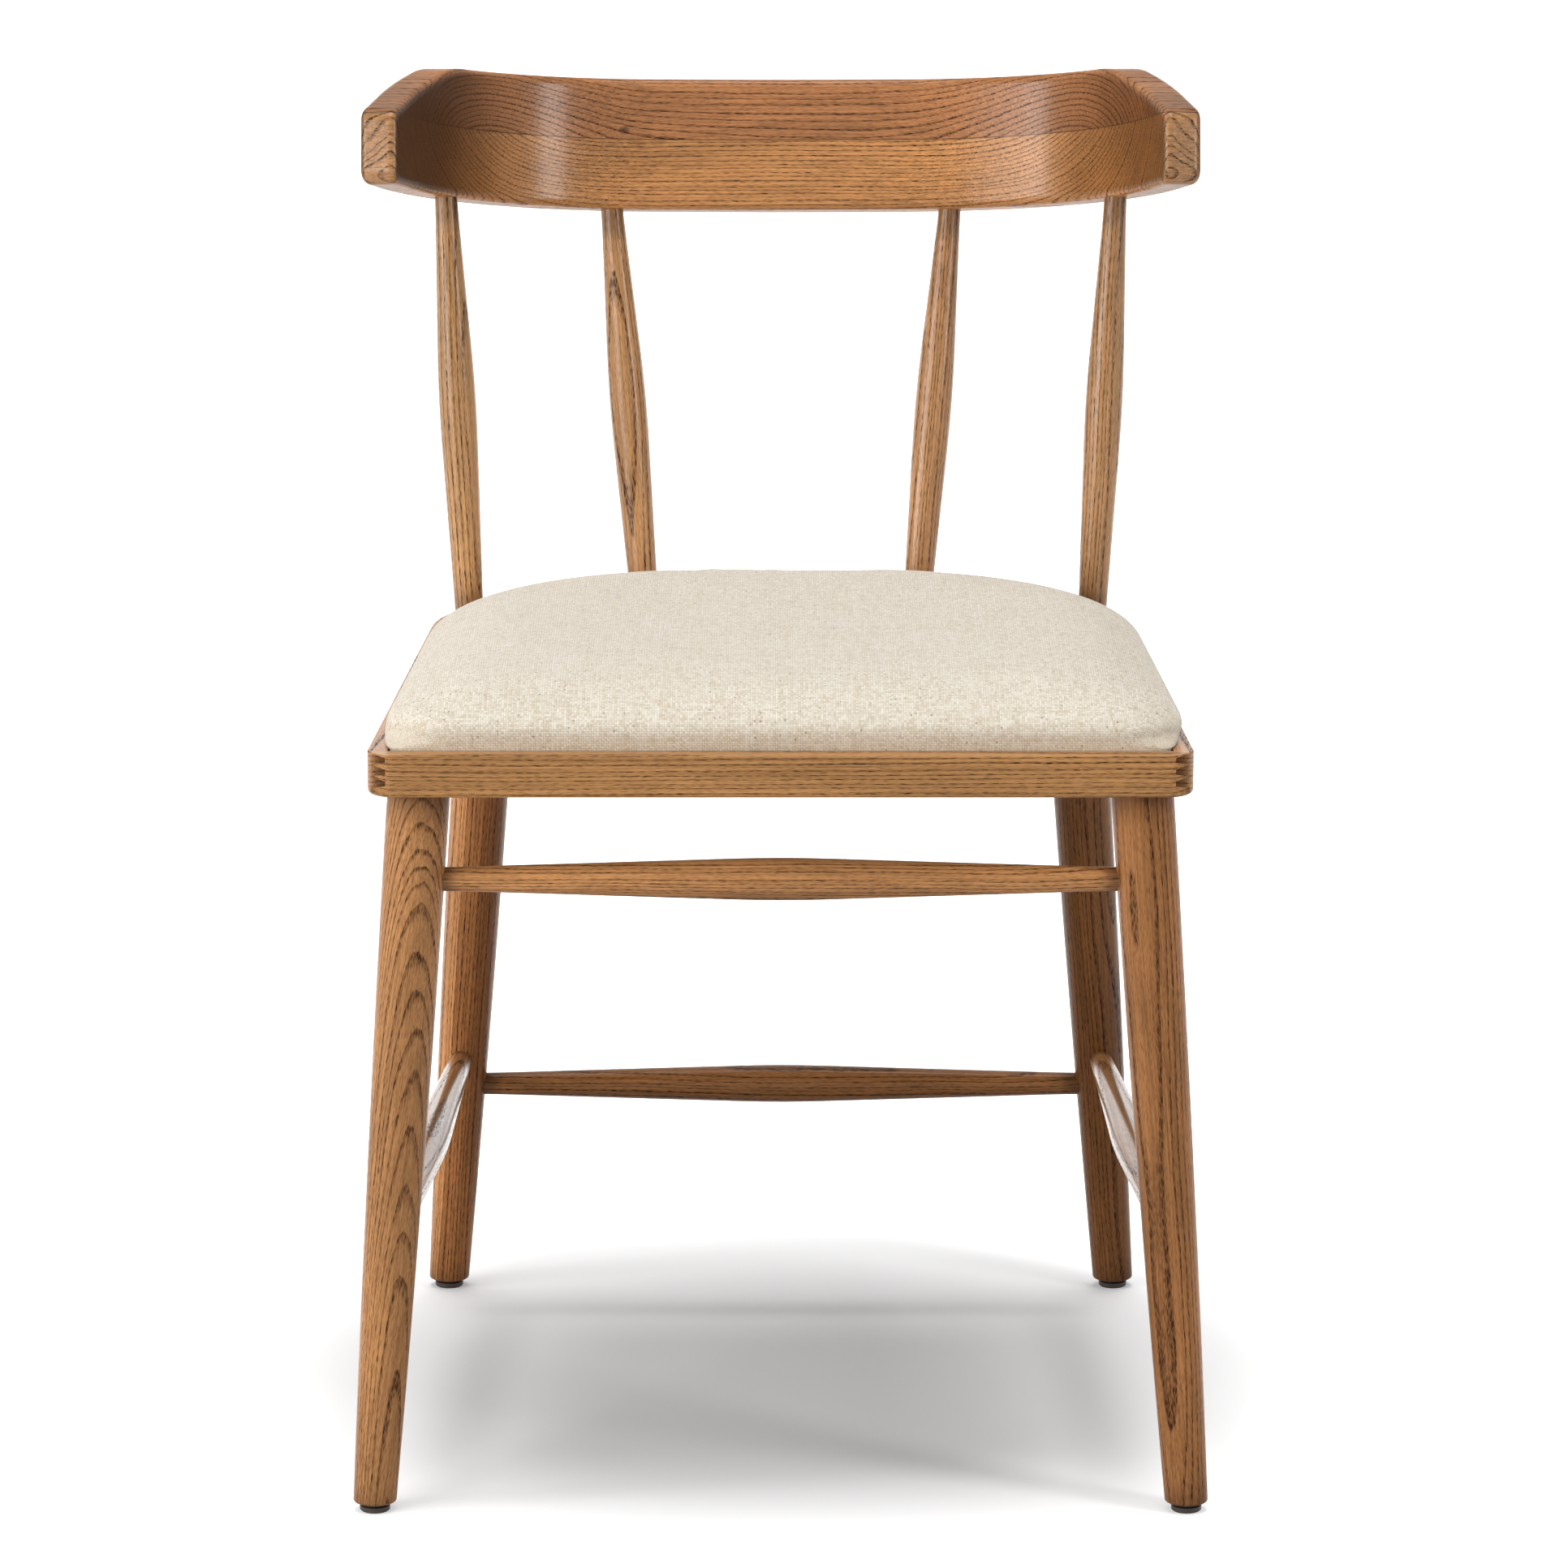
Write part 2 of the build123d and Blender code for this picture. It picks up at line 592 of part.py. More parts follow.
for hand, side in SIDES:
    with BuildPart() as corner_block:
        extrude(block_plan(side), amount=BLOCK_HEIGHT)
        for head, point in block_screw_lines(side):
            with BuildSketch(Plane(origin=head, z_dir=head - point)):
                Circle(SCREW_POCKET_RADIUS)
            extrude(amount=BLOCK_LENGTH, mode=Mode.SUBTRACT)
        add(legs, mode=Mode.SUBTRACT)
        add(corner_block_screws.part, mode=Mode.SUBTRACT)
        add(seat_screws.part, mode=Mode.SUBTRACT)
    write_step(corner_block, f"{hand}_corner_block")

# Cleat along the back rail, under the rear edge of the seat.
with BuildPart() as rear_cleat:
    with BuildSketch(Plane.XY.offset(RAIL_BOTTOM)):
        with Locations((0, CLEAT_REAR_Y - CLEAT_WIDTH / 2)):
            Rectangle(CLEAT_LENGTH, CLEAT_WIDTH)
    extrude(amount=BLOCK_HEIGHT)
    add(cleat_screws.part, mode=Mode.SUBTRACT)
    add(seat_screws.part, mode=Mode.SUBTRACT)
write_step(rear_cleat, "rear_cleat")


# Staples that pin the hem and the dust cover to the deck.
def staple_places():
    """Places and turns of the staples along the front, the sides and the rear corners of the seat."""
    front_y = FRONT_Y + RAIL_THICKNESS + STAPLE_INSET
    places = [(x, front_y, 0.0) for x in FRONT_STAPLES_X]
    lean = math.degrees(math.atan(SIDE_TAPER))
    reach = OPENING_REAR_RADIUS - STAPLE_INSET
    corner_y = CLEAT_REAR_Y - OPENING_REAR_RADIUS
    corner_x = half_width(corner_y) - RAIL_THICKNESS - OPENING_REAR_RADIUS
    for _, side in SIDES:
        for back in SIDE_STAPLES_Y:
            x = half_width(FRONT_Y + back) - RAIL_THICKNESS - STAPLE_INSET
            places.append((side * x, FRONT_Y + back, 90.0 + side * lean))
        for angle in CORNER_STAPLES_ANGLE:
            x = corner_x + reach * math.cos(math.radians(angle))
            y = corner_y + reach * math.sin(math.radians(angle))
            places.append((side * x, y, side * (angle + 90.0)))
    return places


with BuildPart() as cover_staples:
    for x, y, turn in staple_places():
        with Locations(Location((x, y, STAPLE_BOTTOM), (0, 0, turn))):
            Box(STAPLE_WIDTH, STAPLE_WIRE, STAPLE_WIRE, align=(Align.CENTER, Align.CENTER, Align.MIN))
            with GridLocations(STAPLE_WIDTH - STAPLE_WIRE, 0, 2, 1):
                Box(STAPLE_WIRE, STAPLE_WIRE, STAPLE_LENGTH, align=(Align.CENTER, Align.CENTER, Align.MIN))
write_step(cover_staples, "cover_staples")

# Plywood deck of the drop-in seat.
with BuildPart() as seat_deck:
    extrude(
        opening_plan(DECK_BOTTOM, DECK_INSET, CUSHION_CORNER_RADIUS, OPENING_REAR_RADIUS),
        amount=DECK_THICKNESS,
    )
    add(seat_screws.part, mode=Mode.SUBTRACT)
    add(cover_staples.part, mode=Mode.SUBTRACT)
write_step(seat_deck, "seat_deck")


# Padded form of the seat: straight in the frame, swelled over the rails, and crowned.
def pad_outline(height, overhang, inset, skin):
    """One level outline of the pad, where overhang runs from 0 in the frame to 1 at the crown's edge."""
    side = RAIL_THICKNESS + inset + skin + SEAT_GAP - overhang * (PAD_SIDE_OVERHANG + SEAT_GAP)
    end = inset + skin + SEAT_GAP - overhang * (PAD_END_OVERHANG + SEAT_GAP)
    front_radius = CUSHION_CORNER_RADIUS + overhang**2 * (PAD_FRONT_RADIUS - CUSHION_CORNER_RADIUS)
    rear_radius = OPENING_REAR_RADIUS + overhang * (PAD_REAR_RADIUS - OPENING_REAR_RADIUS)
    return seat_plan(
        height,
        RAIL_THICKNESS + end,
        side,
        BACK_RAIL_WIDTH + end,
        front_radius + CROWN_FRONT_EASE * inset,
        rear_radius - CROWN_REAR_EASE * inset,
    )


def padded_form(skin, bottom):
    """The padded form under a skin of that thickness, above a level cut."""
    outlines = [pad_outline(HEM_BOTTOM, 0, 0, skin)]
    for step in range(SWELL_STEPS + 1):
        turn = math.radians(90 * step / SWELL_STEPS)
        lift = (CROWN_EDGE - PAD_FOOT) * (1 - math.cos(turn)) + min(skin, COVER_THICKNESS) * math.cos(turn)
        outlines.append(pad_outline(PAD_FOOT + lift, math.sin(turn), 0, skin))
    for step in range(1, CROWN_STEPS + 1):
        share = (step / CROWN_STEPS) ** 2
        rise = math.sqrt(1 - (1 - share) ** 3)
        height = CROWN_EDGE + (CROWN_RISE - skin) * rise
        outlines.append(pad_outline(height, 1, CROWN_REACH * share, skin))
    with BuildPart() as form:
        loft(outlines, ruled=True)
        split(bisect_by=Plane.XY.offset(bottom), keep=Keep.TOP)
    return form.part


# Foam pad on the deck.
foam_form = padded_form(COVER_THICKNESS + FOAM_GAP, DECK_TOP)
with BuildPart() as seat_foam:
    add(foam_form)
write_step(seat_foam, "seat_foam")

# Linen cover, drawn over the pad and turned under the deck as a hem.
cover_form = padded_form(0, HEM_BOTTOM)
cover_cavity = padded_form(COVER_THICKNESS, DECK_BOTTOM)
with BuildPart() as seat_cover:
    add(cover_form)
    add(cover_cavity, mode=Mode.SUBTRACT)
    extrude(
        opening_plan(HEM_BOTTOM, HEM_WIDTH, CUSHION_CORNER_RADIUS, OPENING_REAR_RADIUS - HEM_WIDTH),
        amount=HEM_THICKNESS,
        mode=Mode.SUBTRACT,
    )
    add(seat_screws.part, mode=Mode.SUBTRACT)
    add(cover_staples.part, mode=Mode.SUBTRACT)
write_step(seat_cover, "seat_cover")

# Dust cover under the deck, cut away round the corner blocks and the cleat.
with BuildPart() as dust_cover:
    extrude(
        opening_plan(
            HEM_BOTTOM - DUST_COVER_THICKNESS, DUST_COVER_INSET, CUSHION_CORNER_RADIUS, OPENING_REAR_RADIUS
        ),
        amount=DUST_COVER_THICKNESS,
    )
    for _, side in SIDES:
        with BuildSketch(Plane.XY.offset(RAIL_BOTTOM)):
            add(block_plan(side))
            offset(amount=DUST_COVER_MARGIN)
        extrude(amount=BLOCK_HEIGHT, mode=Mode.SUBTRACT)
    with BuildSketch(Plane.XY.offset(RAIL_BOTTOM)):
        with Locations((0, CLEAT_REAR_Y - CLEAT_WIDTH / 2)):
            Rectangle(CLEAT_LENGTH + 2 * DUST_COVER_MARGIN, CLEAT_WIDTH + 2 * DUST_COVER_MARGIN)
    extrude(amount=BLOCK_HEIGHT, mode=Mode.SUBTRACT)
    add(cover_staples.part, mode=Mode.SUBTRACT)
write_step(dust_cover, "dust_cover")
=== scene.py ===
import math

import bmesh
import bpy
import numpy as np
from mathutils import Matrix, Vector


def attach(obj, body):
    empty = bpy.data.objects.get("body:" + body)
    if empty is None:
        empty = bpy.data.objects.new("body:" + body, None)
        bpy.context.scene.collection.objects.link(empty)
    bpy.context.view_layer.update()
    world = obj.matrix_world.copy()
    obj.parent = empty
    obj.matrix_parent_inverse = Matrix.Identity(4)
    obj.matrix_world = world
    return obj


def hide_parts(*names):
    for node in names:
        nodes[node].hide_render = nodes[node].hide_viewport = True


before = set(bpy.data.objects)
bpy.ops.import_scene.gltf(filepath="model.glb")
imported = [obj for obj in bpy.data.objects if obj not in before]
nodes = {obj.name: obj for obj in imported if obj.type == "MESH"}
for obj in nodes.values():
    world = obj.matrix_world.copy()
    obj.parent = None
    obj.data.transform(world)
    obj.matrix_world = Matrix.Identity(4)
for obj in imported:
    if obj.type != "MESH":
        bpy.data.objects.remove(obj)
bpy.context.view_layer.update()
scene = bpy.context.scene

# View: the chair is seen square from the front, from well above the crest rail, through a long lens.
# Nothing is out of focus, and the frame is as wide as it is high.
tilt_down = 12.9506
camera_data = bpy.data.cameras.new("front_view")
camera_data.lens = 178.83
camera_data.sensor_width = 36.0
camera = bpy.data.objects.new("front_view", camera_data)
camera.location = (0.002, -4.62205, 1.44258)
camera.rotation_euler = (math.radians(90 - tilt_down), 0, 0)
scene.collection.objects.link(camera)
scene.camera = camera
scene.view_settings.view_transform = "Standard"


# Studio: a plain white floor under a soft overhead light, with a broad front light from the left and a low
# light behind. A narrow upright softbox on either side draws the bright lines on the turned wood.
def wire(tree, kind, inputs=None, **settings):
    """Adds a node, gives it its settings, and sets or links each of its named or numbered inputs."""
    made = tree.nodes.new(kind)
    for name, value in settings.items():
        setattr(made, name, value)
    for name, value in (inputs or {}).items():
        if isinstance(value, bpy.types.NodeSocket):
            tree.links.new(value, made.inputs[name])
        else:
            made.inputs[name].default_value = value
    return made


def calc(tree, operation, first, second=0.0, third=0.0):
    """The value of one sum in a node tree."""
    return wire(tree, "ShaderNodeMath", {0: first, 1: second, 2: third}, operation=operation).outputs[0]


def vector_calc(tree, operation, first, second=(0, 0, 0), result="Vector"):
    """The value of one sum on places or directions in a node tree."""
    return wire(tree, "ShaderNodeVectorMath", {0: first, 1: second}, operation=operation).outputs[result]


def ramp(tree, value, low, high, start=0.0, end=1.0):
    """Runs smoothly from start to end while the value runs from low to high."""
    limits = {"Value": value, "From Min": low, "From Max": high, "To Min": start, "To Max": end}
    return wire(tree, "ShaderNodeMapRange", limits, interpolation_type="SMOOTHSTEP").outputs["Result"]


def blend_colour(tree, share, first, second, way="MIX"):
    """Two colours mixed in one way, by a share."""
    inputs = {0: share, 6: first, 7: second}
    return wire(tree, "ShaderNodeMix", inputs, data_type="RGBA", blend_type=way).outputs[2]


def new_finish(name):
    """A new material and its empty node tree."""
    made = bpy.data.materials.new(name)
    made.use_nodes = True
    made.node_tree.nodes.clear()
    return made, made.node_tree


def seen_rays(tree):
    """1 on rays that show a surface, directly, mirrored or through glass, and 0 on rays that carry light."""
    path = wire(tree, "ShaderNodeLightPath").outputs
    shown = calc(tree, "MAXIMUM", path["Is Camera Ray"], path["Is Glossy Ray"])
    return calc(tree, "MAXIMUM", shown, path["Is Transmission Ray"])


def lamp(name, kind, power, place, aim, **settings):
    """A lamp at a place, turned so that it shines at the aim."""
    data = bpy.data.lights.new(name, kind)
    data.energy = power
    for setting, value in settings.items():
        setattr(data, setting, value)
    made = bpy.data.objects.new(name, data)
    made.location = place
    made.rotation_euler = (Vector(aim) - Vector(place)).to_track_quat("-Z", "Y").to_euler()
    made.visible_camera = False
    scene.collection.objects.link(made)


softbox = {"shape": "RECTANGLE"}
lamp("overhead_light", "SUN", 1.9, (0, 0, 4), (0, 0, 0.2), angle=math.radians(34))
lamp("front_light", "AREA", 72, (-2.62, -1.84, 1.1), (0, 0, 0.6), size=2.4, size_y=1.4, **softbox)
lamp("back_light", "AREA", 10, (0, 2.8, 1.0), (0, 0, 0.45), size=3.0, size_y=1.1, **softbox)
lamp("right_softbox", "AREA", 16, (1.80, -1.15, 1.3), (0, 0.1, 0.75), size=0.44, size_y=1.1, **softbox)
lamp("left_softbox", "AREA", 5, (-1.95, -0.65, 1.0), (0, 0.1, 0.6), size=0.36, size_y=1.5, **softbox)

white = (1, 1, 1, 1)
world = bpy.data.worlds.new("studio")
world.use_nodes = True
scene.world = world
tree = world.node_tree
tree.nodes.clear()
fill = wire(tree, "ShaderNodeBackground", {"Color": white, "Strength": 0.24})
backdrop = wire(tree, "ShaderNodeBackground", {"Color": white, "Strength": 1.0})
room = wire(tree, "ShaderNodeMixShader", {0: seen_rays(tree), 1: fill.outputs[0], 2: backdrop.outputs[0]})
wire(tree, "ShaderNodeOutputWorld", {"Surface": room.outputs[0]})

# The floor's paint throws little light back at the chair. Where it is seen, a glow lifts it to white.
# The glow dies away inside an oval under the chair, so that the shadow stays.
floor_half = 30.0
bounced_paint, shown_paint = (0.40, 0.40, 0.40, 1), (0.80, 0.80, 0.80, 1)
oval_middle, oval_half = (0, 0.02, 0), (0.37, 0.34, 1)
glow_starts, glow_full, glow_least = 0.50, 1.75, 0.06
floor_mesh = bpy.data.meshes.new("floor")
floor_corners = np.array([(-1, -1, 0), (1, -1, 0), (1, 1, 0), (-1, 1, 0)]) * floor_half
floor_mesh.from_pydata(floor_corners.tolist(), [], [(0, 1, 2, 3)])
floor = bpy.data.objects.new("floor", floor_mesh)
scene.collection.objects.link(floor)
floor_paint, tree = new_finish("white_floor")
seen = seen_rays(tree)
paint = blend_colour(tree, seen, bounced_paint, shown_paint)
matt = wire(tree, "ShaderNodeBsdfDiffuse", {"Color": paint})
place = wire(tree, "ShaderNodeTexCoord").outputs["Object"]
oval = {"Vector": place, "Location": oval_middle, "Scale": oval_half}
oval = wire(tree, "ShaderNodeMapping", oval, vector_type="TEXTURE").outputs[0]
away = vector_calc(tree, "LENGTH", oval, result="Value")
lift = calc(tree, "MULTIPLY", seen, ramp(tree, away, glow_starts, glow_full, glow_least, 1.0))
glow = wire(tree, "ShaderNodeEmission", {"Color": white, "Strength": lift})
lit = wire(tree, "ShaderNodeAddShader", {0: matt.outputs[0], 1: glow.outputs[0]})
back = wire(tree, "ShaderNodeNewGeometry").outputs["Backfacing"]
clear = wire(tree, "ShaderNodeBsdfTransparent")
sided = wire(tree, "ShaderNodeMixShader", {0: back, 1: lit.outputs[0], 2: clear.outputs[0]})
wire(tree, "ShaderNodeOutputMaterial", {"Surface": sided.outputs[0]})
floor_mesh.materials.append(floor_paint)


# Legs: turned from solid ash, tapered towards the foot, stained brown and lacquered to a satin.
# Their round tenons are glued into the corner blocks and the back rail. Both ends are darkened with painted
# shade.
def stretched(tree, vector, across, along):
    """A place scaled by one number across the fibre and another along it."""
    return vector_calc(tree, "MULTIPLY", vector, (across, across, along))


def noise(tree, vector, detail=2.0, output="Fac"):
    """Smooth noise of unit size at a place."""
    made = wire(tree, "ShaderNodeTexNoise", {"Vector": vector, "Scale": 1.0, "Detail": detail})
    return made.outputs[output]


def axis_of(tree, vector, axis):
    """One of the three numbers of a place or a direction."""
    return wire(tree, "ShaderNodeSeparateXYZ", {0: vector}).outputs[axis]


def sway(tree, vector, across, along, detail, reach):
    """Noise in three directions, each up to half the reach either way, drawn out along the fibre."""
    drift = noise(tree, stretched(tree, vector, across, along), detail, "Color")
    drift = vector_calc(tree, "SUBTRACT", drift, (0.5, 0.5, 0.5))
    return wire(tree, "ShaderNodeVectorMath", {0: drift, "Scale": reach}, operation="SCALE").outputs[0]


def pore_rows(tree, vector, across, along, core, rim):
    """Long pores scattered through the wood: 1 inside a pore's core and 0 past its rim."""
    drawn_out = stretched(tree, vector, across, along)
    pore = wire(tree, "ShaderNodeTexVoronoi", {"Vector": drawn_out, "Scale": 1.0}).outputs["Distance"]
    return ramp(tree, pore, core, rim, 1.0, 0.0)


def new_group(name, inputs, outputs):
    """An empty shader group with its named sockets, and the nodes at its two ends."""
    group = bpy.data.node_groups.new(name, "ShaderNodeTree")
    kinds = {"value": "NodeSocketFloat", "place": "NodeSocketVector", "colour": "NodeSocketColor"}
    for socket, kind in inputs.items():
        group.interface.new_socket(socket, in_out="INPUT", socket_type=kinds[kind])
    for socket, kind in outputs.items():
        group.interface.new_socket(socket, in_out="OUTPUT", socket_type=kinds[kind])
    return group, group.nodes.new("NodeGroupInput").outputs, group.nodes.new("NodeGroupOutput").inputs


# Growth rings are shells round the pith, which is the Z axis of Place in millimetres. Each ring starts with
# a dark row of open pores and fades into smooth late wood. The shells waver slowly along the trunk. A Bow
# bends it by that many millimetres at 100 mm from Place's origin, and by eight times that at 200 mm.
grain_inputs = {"Place": "place", "Ring": "value", "Waver": "value", "Late Wood": "colour",
                "Early Wood": "colour", "Pore": "colour", "End": "value", "End Tint": "colour",
                "Shaded Core": "value", "Bow": "value"}
grain_outputs = {"Colour": "colour", "Roughness": "value", "Height": "value", "Closed": "value"}
core_shade_tint = (0.66, 0.58, 0.52, 1)
# How often each pattern repeats in a millimetre, across the fibre and along it.
slow_rate, quick_rate = (0.013, 0.0036), (0.11, 0.012)
large_pore_rate, fine_pore_rate = (1.05, 0.19), (1.6, 0.17)
streak_rate, cloud_rate, season_rate = (0.9, 0.006), (0.03, 0.007), 0.11
grain, given, found = new_group("ash_grain", grain_inputs, grain_outputs)
along = axis_of(grain, given["Place"], "Z")
bend = calc(grain, "POWER", calc(grain, "MULTIPLY", calc(grain, "ABSOLUTE", along), 0.01), 3.0)
bend = wire(grain, "ShaderNodeCombineXYZ", {0: calc(grain, "MULTIPLY", bend, given["Bow"])}).outputs[0]
slow_sway = sway(grain, given["Place"], *slow_rate, detail=1.5, reach=given["Waver"])
quick_sway = sway(grain, given["Place"], *quick_rate, detail=2.0, reach=1.5)
swayed = vector_calc(grain, "ADD", given["Place"], slow_sway)
swayed = vector_calc(grain, "SUBTRACT", swayed, bend)
swayed = vector_calc(grain, "ADD", swayed, quick_sway)
radius = vector_calc(grain, "LENGTH", stretched(grain, swayed, 1.0, 0.0), result="Value")
seasons = {"W": calc(grain, "MULTIPLY", radius, season_rate), "Scale": 1.0, "Detail": 1.0}
seasons = wire(grain, "ShaderNodeTexNoise", seasons, noise_dimensions="1D").outputs["Fac"]
seasons = calc(grain, "SUBTRACT", seasons, 0.5)
seasons = calc(grain, "MULTIPLY", seasons, calc(grain, "MULTIPLY", given["Waver"], 0.5))
years = calc(grain, "DIVIDE", calc(grain, "ADD", radius, seasons), given["Ring"])
growth = calc(grain, "FRACT", years)
year = {"W": calc(grain, "FLOOR", years)}
year = wire(grain, "ShaderNodeTexWhiteNoise", year, noise_dimensions="1D").outputs["Value"]
early = calc(grain, "MULTIPLY", ramp(grain, growth, 0.0, 0.06), ramp(grain, growth, 0.08, 0.42, 1.0, 0.0))
early = calc(grain, "MULTIPLY", early, ramp(grain, year, 0.0, 1.0, 0.65, 1.0))
large = pore_rows(grain, swayed, *large_pore_rate, core=0.28, rim=0.62)
large = calc(grain, "MULTIPLY", large, calc(grain, "MULTIPLY_ADD", early, 0.95, 0.05))
fine = pore_rows(grain, swayed, *fine_pore_rate, core=0.18, rim=0.50)
fine = calc(grain, "MULTIPLY", fine, calc(grain, "MULTIPLY_ADD", early, 0.40, 0.45))
pores = calc(grain, "MULTIPLY_ADD", large, 0.90, calc(grain, "MULTIPLY", fine, 0.80))
pores = calc(grain, "MINIMUM", pores, 1.0)
streak = calc(grain, "SUBTRACT", noise(grain, stretched(grain, swayed, *streak_rate), 3.0), 0.5)
cloud = calc(grain, "SUBTRACT", noise(grain, stretched(grain, given["Place"], *cloud_rate), 2.0), 0.5)
depth = calc(grain, "MULTIPLY_ADD", streak, 1.30, calc(grain, "MULTIPLY_ADD", cloud, 0.80, 1.0))
shade = wire(grain, "ShaderNodeCombineColor", {0: depth, 1: depth, 2: depth}).outputs[0]
wood = blend_colour(grain, calc(grain, "MULTIPLY", early, 0.62), given["Late Wood"], given["Early Wood"])
wood = blend_colour(grain, 1.0, wood, shade, "MULTIPLY")
wood = blend_colour(grain, pores, wood, given["Pore"])
# Inside the given core radius the wood is darkened: painted shade, whose edge along the leg stands in for a
# cast shadow.
in_shaded_core = ramp(grain, calc(grain, "SUBTRACT", given["Shaded Core"], radius), -0.6, 0.6)
wood = blend_colour(grain, in_shaded_core, wood, blend_colour(grain, 1.0, wood, core_shade_tint, "MULTIPLY"))
thirsty = blend_colour(grain, 1.0, wood, given["End Tint"], "MULTIPLY")
wood = blend_colour(grain, given["End"], wood, thirsty)
satin = calc(grain, "MULTIPLY_ADD", pores, 0.20, calc(grain, "MULTIPLY_ADD", streak, 0.14, 0.34))
satin = calc(grain, "MULTIPLY_ADD", given["End"], 0.10, satin)
sunk = calc(grain, "MULTIPLY_ADD", early, -0.3, calc(grain, "MULTIPLY", pores, -0.7))
closed = calc(grain, "MULTIPLY_ADD", pores, -0.85, 1.0)
for socket, value in {"Colour": wood, "Roughness": satin, "Height": sunk, "Closed": closed}.items():
    grain.links.new(value, found[socket])


def put_on(tree, sockets, height=None, strength=0.5, depth=0.0002):
    """Ends a material with one shader, whose sockets are given by name, with a bump where it has a height."""
    if height is not None:
        relief = {"Height": height, "Strength": strength, "Distance": depth}
        sockets = {**sockets, "Normal": wire(tree, "ShaderNodeBump", relief).outputs[0]}
    shader = wire(tree, "ShaderNodeBsdfPrincipled", sockets)
    wire(tree, "ShaderNodeOutputMaterial", {"Surface": shader.outputs[0]})


def ash(name, start, end, bark, pith, ring=3.0, waver=14.0, tone=(1, 1, 1), lacquer=1.3, film=0.45,
        shaded_core=0.0, bow=0.0, end_tint=(0.43, 0.37, 0.30)):
    """Stained ash whose fibre runs from start to end, with the pith that many metres in from the bark's side.
    Ring is a ring's width and shaded_core the radius, in millimetres, inside which the wood is darkened with
    painted shade. Tone multiplies the stain.
    Lacquer is the coat's refraction, and film how well it covers, which is less over pores and end grain."""
    late, early, pore = (0.465, 0.217, 0.084), (0.115, 0.037, 0.008), (0.024, 0.009, 0.003)
    film_on_ends = 0.2 * film
    millimetre = (0.001, 0.001, 0.001)
    along = (Vector(end) - Vector(start)).normalized()
    out = Vector(bark)
    out = (out - along * out.dot(along)).normalized()
    turn = Matrix((out, along.cross(out), along)).transposed().to_euler()
    made, tree = new_finish(name)
    coords = wire(tree, "ShaderNodeTexCoord").outputs
    trunk = {"Vector": coords["Object"], "Location": Vector(start) - out * pith, "Rotation": turn,
             "Scale": millimetre}
    place = wire(tree, "ShaderNodeMapping", trunk, vector_type="TEXTURE").outputs[0]
    facing = vector_calc(tree, "DOT_PRODUCT", coords["Normal"], along, "Value")
    cut = ramp(tree, calc(tree, "ABSOLUTE", facing), 0.45, 0.98)
    late, early, pore = [(*(c * t for c, t in zip(colour, tone)), 1) for colour in (late, early, pore)]
    cut_from = {"Place": place, "Ring": ring, "Waver": waver, "Late Wood": late, "Early Wood": early,
                "Pore": pore, "End": cut, "End Tint": (*end_tint, 1), "Shaded Core": shaded_core, "Bow": bow}
    timber = wire(tree, "ShaderNodeGroup", cut_from, node_tree=grain).outputs
    coat = calc(tree, "MULTIPLY", ramp(tree, cut, 0.0, 1.0, film, film_on_ends), timber["Closed"])
    sockets = {"Base Color": timber["Colour"], "Roughness": timber["Roughness"], "Specular IOR Level": 0.05,
               "Coat Weight": coat, "Coat IOR": lacquer, "Coat Roughness": 0.2}
    put_on(tree, sockets, timber["Height"], depth=0.00025)
    return made


def node_of(material, kind):
    """A material's one node of a kind."""
    return next(node for node in material.node_tree.nodes if node.type == kind)


def tint(material, mask, colour=(0.05, 0.022, 0.010, 1), way="MIX"):
    """Takes a timber's colour towards another, a dark brown unless one is given, where the mask is on."""
    tree = material.node_tree
    base = node_of(material, "BSDF_PRINCIPLED").inputs["Base Color"]
    tree.links.new(blend_colour(tree, mask, base.links[0].from_socket, colour, way), base)


def shade_joints(material, start, end, joint, reach, most):
    """Paints shade on a rod by the joints at its ends, where shade falls: by the most at the joint, which is
    that many millimetres in from the end, and by nothing once the reach is past."""
    tree = material.node_tree
    run = axis_of(tree, node_of(material, "GROUP").inputs["Place"].links[0].from_socket, "Z")
    half = 500 * (Vector(end) - Vector(start)).length
    from_middle = calc(tree, "ABSOLUTE", calc(tree, "SUBTRACT", run, half))
    from_end = calc(tree, "SUBTRACT", half, from_middle)
    tint(material, ramp(tree, from_end, joint, joint + reach, most, 0.0))


def finish_node(name, material):
    """Gives a CAD piece its finish."""
    for slot in nodes[name].material_slots:
        slot.material = material


# Each leg has its side, its ends, how far its fibre leans out at the foot, and how it was cut from the trunk.
front_foot, front_head = (0.2389, -0.25305, 0), (0.2093, -0.22655, 0.4306)
rear_foot, rear_head = (0.2145, 0.20895, 0), (0.1825, 0.12395, 0.4306)
legs = {
    "front_left_leg": (-1, front_foot, front_head, 0.035, {
        "bark": (0.25, -1, 0), "pith": 0.064, "ring": 2.1, "waver": 8.0, "tone": (0.98, 1.0, 1.0),
        "bow": 0.26}),
    "front_right_leg": (1, front_foot, front_head, 0, {
        "bark": (-0.5, -1, 0), "pith": 0.075, "ring": 2.8, "waver": 9.0, "tone": (0.80, 0.74, 0.67)}),
    # The rear left leg's darker core is painted shade.
    "rear_left_leg": (-1, rear_foot, rear_head, 0, {
        "bark": (-1, 0.2, 0), "pith": 0.060, "ring": 2.5, "waver": 9.0, "tone": (1.18, 1.15, 1.12),
        "shaded_core": 66}),
    "rear_right_leg": (1, rear_foot, rear_head, 0, {
        "bark": (1, -0.5, 0), "pith": 0.050, "ring": 2.6, "waver": 14.0, "tone": (0.39, 0.34, 0.29)}),
}
